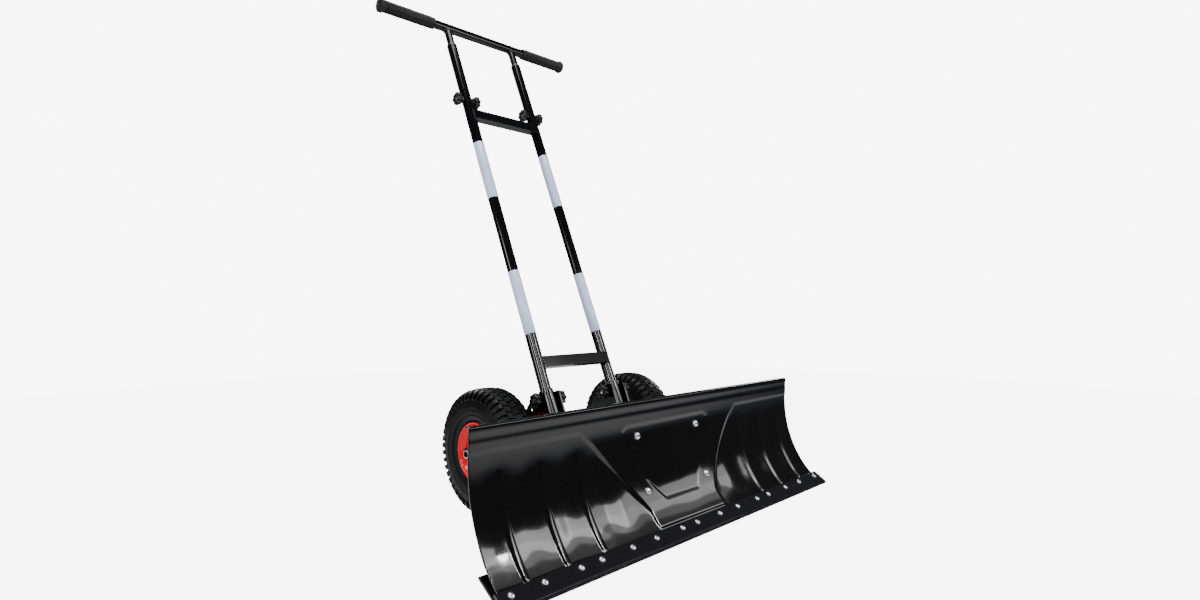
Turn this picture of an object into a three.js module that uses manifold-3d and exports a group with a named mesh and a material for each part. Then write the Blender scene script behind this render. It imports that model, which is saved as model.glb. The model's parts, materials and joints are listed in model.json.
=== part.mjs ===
// Wheeled snow shovel: a curved steel blade on a two-wheel chassis, pushed by a tilting,
// telescoping handle. Millimetres, +X right, +Y back towards the person pushing, +Z up.
// The origin is on the ground under the centre of the whole object.
import * as THREE from "three";
import { mergeVertices } from "three/addons/utils/BufferGeometryUtils.js";
import Module from "manifold-3d";

const wasm = await Module();
wasm.setup();

// ---- Driving dimensions -------------------------------------------------------------------
const AXLE_Y = 27.3; // the axle's place along Y; every other Y below is counted from the axle
const GAP = 0.3; // clearance between pieces that touch

const TYRE_RADIUS = 127; // a 10 inch wheel
const TYRE_WIDTH = 78;
const TRACK = 425; // between the wheels' middle planes
const RIM_RADIUS = 61;
const HUB_RADIUS = 21;
const BEARING = { outer: 17.5, inner: 8.3, width: 11, face: 34 };
const AXLE_RADIUS = 8;
const AXLE_HALF = 268;
const AXLE_Z = TYRE_RADIUS;
const AXLE_NUT = { radius: 13, width: 9, washer: 1.5 };

const ARM = { x: 100.5, width: 35, height: 30, wall: 2.5, front: -141.7, back: 28 };
const CROSS_TUBE = { half: 118, front: -182, back: -142, height: 40, wall: 3 };

const KING_PIN = { y: -236, radius: 10, headRadius: 17, head: 12, bottom: 82 };
const SLEEVE = { outer: 19, bottom: 109, top: 163 };
const SWING_PLATE = { bottom: 163.3, thickness: 5, radius: 78, clampRadius: 62, spread: 44 };
const YOKE = { bottom: 171, thickness: 8, half: 92, leg: 8, front: -180, back: -144 };
const LUG_RADIUS = 26;
const CLAMP_STUD = 5;

const PIVOT = { y: -83, z: 162, bolt: 5 }; // the handle's tilt axis
const LEAN = THREE.MathUtils.degToRad(23); // of the handle, back from upright
const SECTOR = { radius: 82, holeRadius: 68, holes: 5, step: 16, inner: 17.8, thickness: 4 };
const SOCKET = { outer: 16, inner: 12.8, top: 86 };
const POLE = { outer: 12.5, inner: 10.5, bottom: 9, top: 985 };
const INNER_TUBE = { outer: 9.5, inner: 7.5, bottom: 640 };
const HANDLEBAR = { along: 1046, radius: 11, inner: 9, half: 281 };
const GRIP = { outer: 14.5, inner: 11.3, flange: 17, start: 139, end: 284.5 };
const CROSSBARS = { lower: 146, upper: 777, height: 25, depth: 17.5, half: 99, wall: 2.5 };
const UPPER_KNOB_ALONG = 824;
const KNOB = { radius: 16, lobes: 7, lobeDepth: 1.8, head: 13, neck: 8, neckLength: 6 };
const STUD_RADIUS = 3.2;

const BLADE = { half: 463, top: 242, topY: -298, thickness: 2.5, lip: 9 };
// The blade's straight foot lies in a plane that meets the ground at FOOT.y.
const FOOT = { y: -394, slope: THREE.MathUtils.degToRad(33), start: 7, end: 36 };
const EDGE = { width: 36, thickness: 5, boltLine: 25, boltRadius: 3.3 };
// A full length of cutting edge has four bolts at gaps A, B and A, and half a C to each end.
const BOLT_GAP = { a: 73.6, b: 61.8, c: 45 };
const BACKING = { start: 16, end: 74, thickness: 4 };
const BRACKET = { rib: 102, low: 62, high: 202, saddleIn: 77, saddleOut: 110, plate: 5 };
const RIB_REAR = { y: -262, low: 92, high: 176 };
const BRACKET_TUBE = { front: -286, back: -254, bottom: 109, top: 159 };
const BRACKET_BOLT = { x: 91, heights: { lower: 79, upper: 177 }, hole: 4.4, shank: 4 };

// Colour, roughness and metalness.
const FINISHES = {
  blackPaint: [0x17171a, 0.3, 0.3],
  blackSteel: [0x1c1c1f, 0.45, 0.3],
  redPaint: [0xc8102e, 0.25, 0.2],
  rubber: [0x2b2b2d, 0.85, 0],
  plastic: [0x222225, 0.55, 0],
  zinc: [0xc9ccd0, 0.3, 0.9],
};
const SIDES = [
  ["left", -1],
  ["right", 1],
];

// ---- Groups --------------------------------------------------------------------------------
const object = new THREE.Group();
const frame = new THREE.Group();
frame.position.y = AXLE_Y;
object.add(frame);

// The handle's +Y runs up the poles from the tilt axis, and its +Z is the side that faces
// forwards.
const handle = new THREE.Group();
handle.position.set(0, PIVOT.y, PIVOT.z);
handle.rotation.x = Math.PI / 2 - LEAN;
frame.add(handle);

// ---- Solids --------------------------------------------------------------------------------
function solid(geometry) {
  const bare = geometry.clone();
  bare.deleteAttribute("normal");
  bare.deleteAttribute("uv");
  const merged = mergeVertices(bare, 1e-4);
  return new wasm.Manifold(
    new wasm.Mesh({
      numProp: 3,
      vertProperties: merged.attributes.position.array,
      triVerts: new Uint32Array(merged.index.array),
    }),
  );
}

function add(name, body, finish, parent = frame) {
  const [color, roughness, metalness] = FINISHES[finish];
  const made = body.getMesh();
  const indexed = new THREE.BufferGeometry();
  indexed.setAttribute("position", new THREE.BufferAttribute(made.vertProperties, 3));
  indexed.setIndex(new THREE.BufferAttribute(made.triVerts, 1));
  const geometry = indexed.toNonIndexed();
  geometry.computeVertexNormals();
  const material = new THREE.MeshStandardMaterial({ color, roughness, metalness });
  const mesh = new THREE.Mesh(geometry, material);
  mesh.name = name;
  parent.add(mesh);
}

function moved(geometry, x, y, z) {
  return solid(geometry.translate(x, y, z));
}

// A box given by its lowest and highest corners.
function block(low, high) {
  const size = high.map((v, i) => v - low[i]);
  const middle = high.map((v, i) => (v + low[i]) / 2);
  return moved(new THREE.BoxGeometry(...size), ...middle);
}

// A box-section tube that is open at both ends of one axis.
function boxTube(low, high, wall, axis) {
  const inLow = low.map((v, i) => (i === axis ? v - 1 : v + wall));
  const inHigh = high.map((v, i) => (i === axis ? v + 1 : v - wall));
  return block(low, high).subtract(block(inLow, inHigh));
}

// Round bars along X, along Z, and along the handle's Y.
function barX(radius, x0, x1, y, z, count = 20) {
  const bar = new THREE.CylinderGeometry(radius, radius, Math.abs(x1 - x0), count);
  return moved(bar.rotateZ(Math.PI / 2), (x0 + x1) / 2, y, z);
}

function barZ(radius, z0, z1, x, y, count = 24) {
  const bar = new THREE.CylinderGeometry(radius, radius, z1 - z0, count);
  return moved(bar.rotateX(Math.PI / 2), x, y, (z0 + z1) / 2);
}

function barAlong(radius, start, end, x, count = 24) {
  const bar = new THREE.CylinderGeometry(radius, radius, end - start, count);
  return moved(bar, x, (start + end) / 2, 0);
}

function tubeAlong(outer, inner, start, end, x) {
  return barAlong(outer, start, end, x).subtract(barAlong(inner, start - 1, end + 1, x));
}

// A piece turned about Y from (radius, along) points, which close on themselves or start and
// end on the axis, anticlockwise, so that its faces look out.
function turned(points, count) {
  return new THREE.LatheGeometry(
    points.map(([radius, along]) => new THREE.Vector2(radius, along)),
    count,
  );
}

// The same, about X: "along" grows towards +X, or towards -X where side is negative.
function turnedX(points, x, y, z, count, side = 1) {
  const piece = turned(points, count).rotateZ(-Math.PI / 2);
  if (side < 0) piece.rotateY(Math.PI);
  return moved(piece, x, y, z);
}

function ringPoints(inner, outer, start, end) {
  return [
    [inner, start],
    [outer, start],
    [outer, end],
    [inner, end],
    [inner, start],
  ];
}

// A plate between x0 and x1 from an outline in the (y, z) plane.
const SIDE_VIEW = new THREE.Matrix4().makeBasis(
  new THREE.Vector3(0, 1, 0),
  new THREE.Vector3(0, 0, 1),
  new THREE.Vector3(1, 0, 0),
);
function plateX(outline, x0, x1) {
  const shape = Array.isArray(outline) ? new THREE.Shape(outline) : outline;
  const settings = { depth: x1 - x0, bevelEnabled: false, curveSegments: 10 };
  const plate = new THREE.ExtrudeGeometry(shape, settings);
  return moved(plate.applyMatrix4(SIDE_VIEW), x0, 0, 0);
}

// A plate between z0 and z1 from an outline in the (x, y) plane.
function plateZ(shape, z0, z1) {
  const settings = { depth: z1 - z0, bevelEnabled: false, curveSegments: 12 };
  return moved(new THREE.ExtrudeGeometry(shape, settings), 0, 0, z0);
}

function union(bodies) {
  return bodies.reduce((whole, body) => whole.add(body));
}

function cut(body, tools) {
  return tools.reduce((rest, tool) => rest.subtract(tool), body);
}

// ---- Wheels ----------------------------------------------------------------------------------
// A hollow tyre, open towards the rim between its beads.
function tyre(x) {
  const w = TYRE_WIDTH / 2;
  const r = TYRE_RADIUS;
  const bead = RIM_RADIUS + GAP;
  const outerHalf = [
    [r, w - 24],
    [r * 0.945, w - 9],
    [r * 0.86, w - 2],
    [r * 0.7, w],
    [bead + 5, w - 3],
    [bead, w - 9],
  ];
  const innerHalf = [
    [bead, w - 16],
    [r * 0.8, w - 9],
    [r - 12, w - 28],
  ];
  const mirrored = (points) => points.map(([radius, along]) => [radius, -along]).reverse();
  const section = [...mirrored(outerHalf), ...outerHalf, ...innerHalf, ...mirrored(innerHalf)];
  return turnedX([...section, section[0]], x, 0, AXLE_Z, 40);
}

// One pressed half of a rim with its half of the hub, on one side of the wheel's middle plane.
function rimHalf(x, side) {
  const w = TYRE_WIDTH / 2;
  const sheet = 2.5;
  const well = RIM_RADIUS - 14;
  const seat = BEARING.outer + GAP;
  const section = [
    [seat, GAP],
    [well, GAP],
    [well, w - 16],
    [RIM_RADIUS - 5, w - 10],
    [RIM_RADIUS, w - 7],
    [RIM_RADIUS, w - 4],
    [RIM_RADIUS - 3, w - 4],
    [RIM_RADIUS - 7, w - 8],
    [well - sheet, w - 14],
    [well - sheet, 4 * sheet],
    [HUB_RADIUS + 8, 2 * sheet],
    [HUB_RADIUS, 4 * sheet],
    [HUB_RADIUS, BEARING.face],
    [seat, BEARING.face],
    [seat, GAP],
  ];
  return turnedX(section, x, 0, AXLE_Z, 28, side);
}

function sleeveX(inner, outer, x0, x1, z, count = 24) {
  return turnedX(ringPoints(inner, outer, Math.min(x0, x1), Math.max(x0, x1)), 0, 0, z, count);
}

const bearingBack = BEARING.face - BEARING.width;
for (const [side, sign] of SIDES) {
  const x = (sign * TRACK) / 2;
  add(`tyre_${side}`, tyre(x), "rubber");
  for (const [place, out] of [["outer", sign], ["inner", -sign]]) {
    const [start, end] = [x + out * bearingBack, x + out * BEARING.face];
    add(`rim_${place}_${side}`, rimHalf(x, out), "redPaint");
    add(
      `bearing_${place}_${side}`,
      sleeveX(BEARING.inner, BEARING.outer, start, end, AXLE_Z),
      "zinc",
    );
  }
}

// ---- Axle ------------------------------------------------------------------------------------
const axleBore = AXLE_RADIUS + GAP;
const armOutside = ARM.x + ARM.width / 2;
const armInside = ARM.x - ARM.width / 2;
const hubFace = TRACK / 2 - BEARING.face;
const nutStart = TRACK / 2 + BEARING.face + AXLE_NUT.washer;

const axleHole = barX(axleBore, -AXLE_HALF, AXLE_HALF, 0, AXLE_Z);
add("axle", barX(AXLE_RADIUS, -AXLE_HALF, AXLE_HALF, 0, AXLE_Z), "zinc");
add("axle_tube", sleeveX(axleBore, 13, GAP - armInside, armInside - GAP, AXLE_Z), "blackPaint");
for (const [side, sign] of SIDES) {
  add(
    `axle_spacer_${side}`,
    sleeveX(axleBore, 12, sign * (armOutside + GAP), sign * (hubFace - GAP), AXLE_Z),
    "blackPaint",
  );
  const nutEnds = [sign * nutStart, sign * (nutStart + AXLE_NUT.width)];
  const nut = barX(AXLE_NUT.radius, ...nutEnds, 0, AXLE_Z, 6);
  add(`axle_nut_${side}`, nut.subtract(axleHole), "zinc");
}

// ---- Chassis ---------------------------------------------------------------------------------
const armBottom = AXLE_Z - ARM.height / 2;
const tubeBottom = AXLE_Z - CROSS_TUBE.height / 2;
const tubeTop = AXLE_Z + CROSS_TUBE.height / 2;

for (const [side, sign] of SIDES) {
  const x = ARM.x * sign;
  const low = [x - ARM.width / 2, ARM.front, armBottom];
  const high = [x + ARM.width / 2, ARM.back, armBottom + ARM.height];
  add(`side_arm_${side}`, boxTube(low, high, ARM.wall, 1).subtract(axleHole), "blackPaint");
}

const tubeLow = [-CROSS_TUBE.half, CROSS_TUBE.front, tubeBottom];
const tubeHigh = [CROSS_TUBE.half, CROSS_TUBE.back, tubeTop];
add("front_cross_tube", boxTube(tubeLow, tubeHigh, CROSS_TUBE.wall, 0), "blackPaint");

// A tongue from the king pin back over or under the cross tube.
function lug(z0, z1) {
  const shape = new THREE.Shape();
  shape.moveTo(-LUG_RADIUS, YOKE.back);
  shape.lineTo(-LUG_RADIUS, KING_PIN.y);
  shape.absarc(0, KING_PIN.y, LUG_RADIUS, Math.PI, 2 * Math.PI, false);
  shape.lineTo(LUG_RADIUS, YOKE.back);
  shape.closePath();
  return plateZ(shape, z0, z1);
}

const pinHole = barZ(KING_PIN.radius + GAP, 0, 2 * AXLE_Z, 0, KING_PIN.y);
const yokeTop = YOKE.bottom + YOKE.thickness;
const lowerLugTop = tubeBottom - GAP;
const clampY = KING_PIN.y + SWING_PLATE.clampRadius;
const swingPlateTop = SWING_PLATE.bottom + SWING_PLATE.thickness;

function yokeBlock(x0, x1, bottom) {
  return block([x0, YOKE.front, bottom], [x1, YOKE.back, yokeTop]);
}

const yoke = union([
  lug(YOKE.bottom, yokeTop),
  yokeBlock(-YOKE.half, YOKE.half, YOKE.bottom),
  yokeBlock(-YOKE.half, YOKE.leg - YOKE.half, tubeTop + GAP),
  yokeBlock(YOKE.half - YOKE.leg, YOKE.half, tubeTop + GAP),
]);
const clampHole = barZ(CLAMP_STUD + GAP, YOKE.bottom - 1, yokeTop + 1, 0, clampY);
add("yoke_plate_upper", cut(yoke, [pinHole, clampHole]), "blackPaint");
const lowerLug = lug(lowerLugTop - YOKE.thickness, lowerLugTop);
add("yoke_plate_lower", lowerLug.subtract(pinHole), "blackPaint");

const headBottom = yokeTop + GAP;
const kingPin = union([
  barZ(KING_PIN.radius, KING_PIN.bottom, headBottom + 1, 0, KING_PIN.y),
  barZ(KING_PIN.headRadius, headBottom, headBottom + KING_PIN.head, 0, KING_PIN.y, 6),
]);
add("king_pin", kingPin, "zinc");

// ---- Tilt brackets: two sector plates, and a base under each arm ------------------------------
// A point at an angle back from upright and a distance from the tilt axis.
function aroundPivot(angle, radius) {
  return new THREE.Vector2(
    PIVOT.y + radius * Math.sin(angle),
    PIVOT.z + radius * Math.cos(angle),
  );
}

const bracketBottom = tubeBottom + 1;
function sectorOutline() {
  const first = LEAN - THREE.MathUtils.degToRad(13);
  const last = THREE.MathUtils.degToRad(100);
  const start = aroundPivot(first, SECTOR.radius);
  const shape = new THREE.Shape();
  shape.moveTo(start.x, start.y);
  shape.absarc(PIVOT.y, PIVOT.z, SECTOR.radius, Math.PI / 2 - first, Math.PI / 2 - last, true);
  shape.lineTo(PIVOT.y + 40, bracketBottom);
  shape.lineTo(PIVOT.y - 30, bracketBottom);
  shape.lineTo(PIVOT.y - 20, PIVOT.z);
  shape.closePath();
  return shape;
}

const sectorFace = SECTOR.inner + SECTOR.thickness;
function tiltBracket(x) {
  const holeHalf = sectorFace + 1;
  const plates = [
    plateX(sectorOutline(), x - sectorFace, x - SECTOR.inner),
    plateX(sectorOutline(), x + SECTOR.inner, x + sectorFace),
    block(
      [x - sectorFace, PIVOT.y - 28, bracketBottom],
      [x + sectorFace, PIVOT.y + 38, armBottom - GAP],
    ),
  ];
  const holes = [barX(PIVOT.bolt + GAP, x - holeHalf, x + holeHalf, PIVOT.y, PIVOT.z)];
  for (let i = 0; i < SECTOR.holes; i += 1) {
    const angle = LEAN + THREE.MathUtils.degToRad(i * SECTOR.step);
    const at = aroundPivot(angle, SECTOR.holeRadius);
    holes.push(barX(STUD_RADIUS + GAP, x - holeHalf, x + holeHalf, at.x, at.y, 12));
  }
  return cut(union(plates), holes);
}
for (const [side, sign] of SIDES) {
  add(`tilt_bracket_${side}`, tiltBracket(ARM.x * sign), "blackPaint");
}

// ---- Blade -----------------------------------------------------------------------------------
// A point in the foot's plane: up the slope from the ground, and out from its front side.
function onFoot(up, out = 0) {
  const c = Math.cos(FOOT.slope);
  const s = Math.sin(FOOT.slope);
  return new THREE.Vector2(FOOT.y + up * c - out * s, up * s + out * c);
}

// The blade's front surface in side view above its foot, from the top down.
const bladeCurve = new THREE.CubicBezierCurve(
  new THREE.Vector2(BLADE.topY, BLADE.top),
  new THREE.Vector2(-276, 95),
  onFoot(FOOT.end + 6),
  onFoot(FOOT.end),
);

// The curve's parameter where the front surface is at a height.
function parameterAt(z) {
  let low = 0;
  let high = 1;
  for (let i = 0; i < 40; i += 1) {
    const middle = (low + high) / 2;
    if (bladeCurve.getPoint(middle).y > z) low = middle;
    else high = middle;
  }
  return low;
}

// Points at a depth behind the front surface, between two parameters.
function behindBlade(depth, from = 0, to = 1, count = 24) {
  return Array.from({ length: count + 1 }, (_, i) => {
    const t = from + ((to - from) * i) / count;
    const tangent = bladeCurve.getTangent(t);
    const point = bladeCurve.getPoint(t);
    return new THREE.Vector2(point.x - tangent.y * depth, point.y + tangent.x * depth);
  });
}

const lipEnd = BLADE.topY + BLADE.thickness + BLADE.lip;
const bladeOutline = [
  ...behindBlade(0),
  onFoot(FOOT.start),
  onFoot(FOOT.start, -BLADE.thickness),
  ...behindBlade(BLADE.thickness, 0.02).reverse(),
  new THREE.Vector2(lipEnd, BLADE.top - BLADE.thickness),
  new THREE.Vector2(lipEnd, BLADE.top),
];

// The cutting edge: one short length and three full ones, each with its bolts' places along X.
const fullGaps = [BOLT_GAP.a, BOLT_GAP.b, BOLT_GAP.a];
const edgeGaps = [[BOLT_GAP.b, BOLT_GAP.a], fullGaps, fullGaps, fullGaps];
const edgeTotal = edgeGaps.flat().reduce((sum, gap) => sum + gap, edgeGaps.length * BOLT_GAP.c);
const edgeHalf = edgeTotal / 2;
const edgeLengths = [];
let reached = -edgeHalf;
for (const gaps of edgeGaps) {
  const bolts = [reached + BOLT_GAP.c / 2];
  for (const gap of gaps) bolts.push(bolts.at(-1) + gap);
  const end = bolts.at(-1) + BOLT_GAP.c / 2;
  edgeLengths.push({ start: reached, end, bolts });
  reached = end;
}

// A slab that lies along the foot's plane.
function footSlab(x0, x1, up0, up1, out0, out1) {
  const outline = [onFoot(up0, out0), onFoot(up1, out0), onFoot(up1, out1), onFoot(up0, out1)];
  return plateX(outline, x0, x1);
}

function edgeBoltHole(x) {
  const hole = new THREE.CylinderGeometry(EDGE.boltRadius, EDGE.boltRadius, 40, 8);
  const at = onFoot(EDGE.boltLine);
  return moved(hole.rotateX(Math.PI / 2 + FOOT.slope), x, at.x, at.y);
}

const edgeHoles = edgeLengths.flatMap(({ bolts }) => bolts.map(edgeBoltHole));
const edgeStart = -GAP / Math.tan(FOOT.slope);
edgeLengths.forEach(({ start, end, bolts }, i) => {
  const strip = footSlab(
    start + GAP / 2,
    end - GAP / 2,
    edgeStart,
    EDGE.width,
    GAP,
    GAP + EDGE.thickness,
  );
  add(`cutting_edge_${i + 1}`, cut(strip, bolts.map(edgeBoltHole)), "blackSteel");
});

const backingFace = -BLADE.thickness - GAP;
const backing = footSlab(
  -edgeHalf,
  edgeHalf,
  BACKING.start,
  BACKING.end,
  backingFace - BACKING.thickness,
  backingFace,
);
add("backing_bar", cut(backing, edgeHoles), "blackPaint");

// ---- Blade bracket ---------------------------------------------------------------------------
// Two curved saddles bolted to the blade's back, with ribs, a cross tube and the pin's sleeve.
const ribOutside = BRACKET.rib + BRACKET.plate / 2;
const inOrder = (ends) => ends.toSorted((a, b) => a - b);
function saddleAndRib(sign) {
  const low = parameterAt(BRACKET.low);
  const high = parameterAt(BRACKET.high);
  const front = BLADE.thickness + GAP;
  const line = (depth) => behindBlade(depth, high, low, 12);
  const saddle = [...line(front), ...line(front + 4).reverse()];
  const rib = [
    ...line(front + 2),
    new THREE.Vector2(RIB_REAR.y, RIB_REAR.low),
    new THREE.Vector2(RIB_REAR.y, RIB_REAR.high),
  ];
  const saddleEnds = [sign * BRACKET.saddleIn, sign * BRACKET.saddleOut];
  const ribEnds = [sign * (BRACKET.rib - BRACKET.plate / 2), sign * ribOutside];
  return [plateX(saddle, ...inOrder(saddleEnds)), plateX(rib, ...inOrder(ribEnds))];
}

const bracket = union([
  block(
    [-ribOutside, BRACKET_TUBE.front, BRACKET_TUBE.bottom],
    [ribOutside, BRACKET_TUBE.back, BRACKET_TUBE.top],
  ),
  barZ(SLEEVE.outer, SLEEVE.bottom, SLEEVE.top, 0, KING_PIN.y),
  block([-12, BRACKET_TUBE.back - 1, SLEEVE.bottom], [12, KING_PIN.y, SLEEVE.top - 4]),
  ...SIDES.flatMap(([, sign]) => saddleAndRib(sign)),
]);

// Turns a piece made along +Y, back from the blade's front surface, into place.
function atBlade(body, x, z) {
  const t = parameterAt(z);
  const at = bladeCurve.getPoint(t);
  const tangent = bladeCurve.getTangent(t);
  const angle = THREE.MathUtils.radToDeg(Math.atan2(tangent.x, -tangent.y));
  return body.rotate([angle, 0, 0]).translate([x, at.x, at.y]);
}

const boltSection = [
  [0, -5.2],
  [4, -4.6],
  [7.5, -2.4],
  [8, -GAP],
  [BRACKET_BOLT.shank, -GAP],
  [BRACKET_BOLT.shank, 20],
  [0, 20],
];
const bracketHoles = [];
for (const [level, z] of Object.entries(BRACKET_BOLT.heights)) {
  for (const [side, sign] of SIDES) {
    const x = BRACKET_BOLT.x * sign;
    const drill = new THREE.CylinderGeometry(BRACKET_BOLT.hole, BRACKET_BOLT.hole, 60, 12);
    bracketHoles.push(atBlade(solid(drill), x, z));
    add(`bracket_bolt_${level}_${side}`, atBlade(solid(turned(boltSection, 14)), x, z), "zinc");
  }
}
const blade = plateX(bladeOutline, -BLADE.half, BLADE.half);
add("blade_shell", cut(blade, [...edgeHoles, ...bracketHoles]), "blackPaint");
add("blade_bracket", cut(bracket, [...bracketHoles, pinHole]), "blackPaint");

// The swing plate turns with the blade, under the clamp knob's stud.
function swingPlate() {
  const up = Math.PI / 2;
  const spread = THREE.MathUtils.degToRad(SWING_PLATE.spread);
  const shape = new THREE.Shape();
  shape.moveTo(0, KING_PIN.y - SLEEVE.outer);
  shape.lineTo(SLEEVE.outer, KING_PIN.y - SLEEVE.outer / 2);
  shape.absarc(0, KING_PIN.y, SWING_PLATE.radius, up - spread, up + spread, false);
  shape.lineTo(-SLEEVE.outer, KING_PIN.y - SLEEVE.outer / 2);
  shape.closePath();
  return plateZ(shape, SWING_PLATE.bottom, swingPlateTop).subtract(pinHole);
}
add("swing_plate", swingPlate(), "blackPaint");

// ---- Star knobs ------------------------------------------------------------------------------
// A knob along +Z from its seat: a neck, a lobed head, and a stud that reaches back.
function starKnob(stud, reach, scale = 1) {
  const steps = KNOB.lobes * 6;
  const outline = Array.from({ length: steps }, (_, i) => {
    const angle = (2 * Math.PI * i) / steps;
    const r = scale * (KNOB.radius - KNOB.lobeDepth * (1 - Math.cos(KNOB.lobes * angle)));
    return new THREE.Vector2(r * Math.cos(angle), r * Math.sin(angle));
  });
  return union([
    plateZ(new THREE.Shape(outline), KNOB.neckLength - 1, KNOB.neckLength + KNOB.head),
    barZ(KNOB.neck * scale, 0, KNOB.neckLength, 0, 0, 16),
    barZ(stud, -reach, KNOB.neckLength, 0, 0, 12),
  ]);
}

// A knob that points out along X from the pole at x, from its seat in to its stud's tip.
function sideKnob(name, x, out, along, seat, tip) {
  const knob = starKnob(STUD_RADIUS, seat - tip).rotate([0, 90 * out, 0]);
  add(name, knob.translate([x + out * seat, along, 0]), "plastic", handle);
}

for (const [side, sign] of SIDES) {
  for (const [place, out] of [["outer", sign], ["inner", -sign]]) {
    const x = ARM.x * sign;
    const tiltTip = SOCKET.outer + GAP;
    const heightTip = INNER_TUBE.outer + GAP;
    sideKnob(`tilt_knob_${place}_${side}`, x, out, SECTOR.holeRadius, sectorFace + GAP, tiltTip);
    sideKnob(`height_knob_${place}_${side}`, x, out, UPPER_KNOB_ALONG, POLE.outer + 1, heightTip);
  }
}
const clampKnob = starKnob(CLAMP_STUD, headBottom - swingPlateTop - GAP, 1.3);
add("swing_clamp_knob", clampKnob.translate([0, clampY, headBottom]), "plastic");

// ---- Handle ----------------------------------------------------------------------------------
function socket(x) {
  const reach = 2 * SOCKET.outer;
  const roundFoot = barX(SOCKET.outer, x - reach, x + reach, 0, 0, 28);
  return tubeAlong(SOCKET.outer, SOCKET.inner, 0, SOCKET.top, x)
    .add(barAlong(SOCKET.outer, -SOCKET.outer, 2, x).intersect(roundFoot))
    .subtract(barX(PIVOT.bolt + GAP, x - reach, x + reach, 0, 0));
}

function tiltPivotBolt(x, sign) {
  const [headStart, headEnd] = [sectorFace + GAP, sectorFace + 6];
  const head = barX(9, x + sign * headStart, x + sign * headEnd, 0, 0, 6);
  return barX(PIVOT.bolt, x - sign * (sectorFace + 8), x + sign * (headStart + 1), 0, 0).add(head);
}

function pole(x) {
  const reach = 2 * POLE.outer;
  const hole = barX(STUD_RADIUS + GAP, x - reach, x + reach, UPPER_KNOB_ALONG, 0, 12);
  return tubeAlong(POLE.outer, POLE.inner, POLE.bottom, POLE.top, x).subtract(hole);
}

function poleCollar(x) {
  const bore = INNER_TUBE.outer + GAP;
  const section = [
    [bore, 0],
    [POLE.outer, 0],
    [POLE.outer, 3],
    [bore + 1, 8],
    [bore, 8],
    [bore, 0],
  ];
  return moved(turned(section, 24), x, POLE.top + GAP, 0);
}

function innerTube(x) {
  const cope = barX(HANDLEBAR.radius + GAP, x - 30, x + 30, HANDLEBAR.along, 0, 28);
  const { outer, inner, bottom } = INNER_TUBE;
  return tubeAlong(outer, inner, bottom, HANDLEBAR.along, x).subtract(cope);
}

// A grip closed at its outer end, with a flange there.
function grip(sign) {
  const section = [
    [GRIP.inner, GRIP.start],
    [GRIP.outer - 1.5, GRIP.start],
    [GRIP.outer, GRIP.start + 3],
    [GRIP.outer, GRIP.end - 10],
    [GRIP.flange, GRIP.end - 7],
    [GRIP.flange, GRIP.end - 1.5],
    [GRIP.flange - 1.5, GRIP.end],
    [0, GRIP.end],
    [0, GRIP.end - 3],
    [GRIP.inner, GRIP.end - 3],
    [GRIP.inner, GRIP.start],
  ];
  return turnedX(section, 0, HANDLEBAR.along, 0, 28, sign);
}

for (const [side, sign] of SIDES) {
  const x = ARM.x * sign;
  add(`socket_${side}`, socket(x), "blackPaint", handle);
  add(`tilt_pivot_bolt_${side}`, tiltPivotBolt(x, sign), "zinc", handle);
  add(`pole_${side}`, pole(x), "blackPaint", handle);
  add(`pole_collar_${side}`, poleCollar(x), "plastic", handle);
  add(`inner_tube_${side}`, innerTube(x), "blackPaint", handle);
  add(`grip_${side}`, grip(sign), "rubber", handle);
}

// The crossbars are box tubes in front of the poles' middle plane, coped to fit the poles.
for (const place of ["lower", "upper"]) {
  const start = CROSSBARS[place] - CROSSBARS.height / 2;
  const end = start + CROSSBARS.height;
  const low = [-CROSSBARS.half, start, 0];
  const high = [CROSSBARS.half, end, CROSSBARS.depth];
  const copes = SIDES.map(([, sign]) => {
    return barAlong(POLE.outer + GAP, start - 1, end + 1, ARM.x * sign);
  });
  add(`crossbar_${place}`, cut(boxTube(low, high, CROSSBARS.wall, 0), copes), "blackPaint", handle);
}

const barBore = barX(HANDLEBAR.inner, -GRIP.end, GRIP.end, HANDLEBAR.along, 0, 28);
const bar = barX(HANDLEBAR.radius, -HANDLEBAR.half, HANDLEBAR.half, HANDLEBAR.along, 0, 28);
add("handlebar", bar.subtract(barBore), "blackPaint", handle);

export default object;
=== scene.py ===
"""Looks for a wheeled snow shovel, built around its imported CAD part. Metres, +Z up."""

import json
import math

import bmesh
import bpy
import numpy as np
from mathutils import Matrix, Vector


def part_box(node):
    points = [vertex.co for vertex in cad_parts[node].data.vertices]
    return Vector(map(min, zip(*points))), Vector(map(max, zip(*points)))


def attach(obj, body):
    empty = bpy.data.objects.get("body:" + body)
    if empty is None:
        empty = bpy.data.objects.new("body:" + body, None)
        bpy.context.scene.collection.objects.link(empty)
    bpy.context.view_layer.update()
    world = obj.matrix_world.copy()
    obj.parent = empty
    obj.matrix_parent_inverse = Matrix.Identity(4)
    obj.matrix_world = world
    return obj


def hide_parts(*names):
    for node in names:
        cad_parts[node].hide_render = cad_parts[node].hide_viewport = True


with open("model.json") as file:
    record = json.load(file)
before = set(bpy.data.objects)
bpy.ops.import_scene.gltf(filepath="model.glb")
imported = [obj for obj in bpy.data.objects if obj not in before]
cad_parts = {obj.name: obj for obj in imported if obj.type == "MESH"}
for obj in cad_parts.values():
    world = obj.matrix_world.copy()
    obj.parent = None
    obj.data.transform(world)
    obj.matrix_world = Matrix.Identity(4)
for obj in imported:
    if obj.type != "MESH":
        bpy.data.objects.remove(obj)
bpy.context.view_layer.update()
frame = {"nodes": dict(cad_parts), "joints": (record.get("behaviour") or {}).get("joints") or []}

MM = 0.001
SIDES = (("left", -1), ("right", 1))
TURN = 2 * math.pi


def middle(node):
    low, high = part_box(node)
    return (low + high) / 2


def joint(name):
    return next(j for j in frame["joints"] if j["name"] == name)


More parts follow.
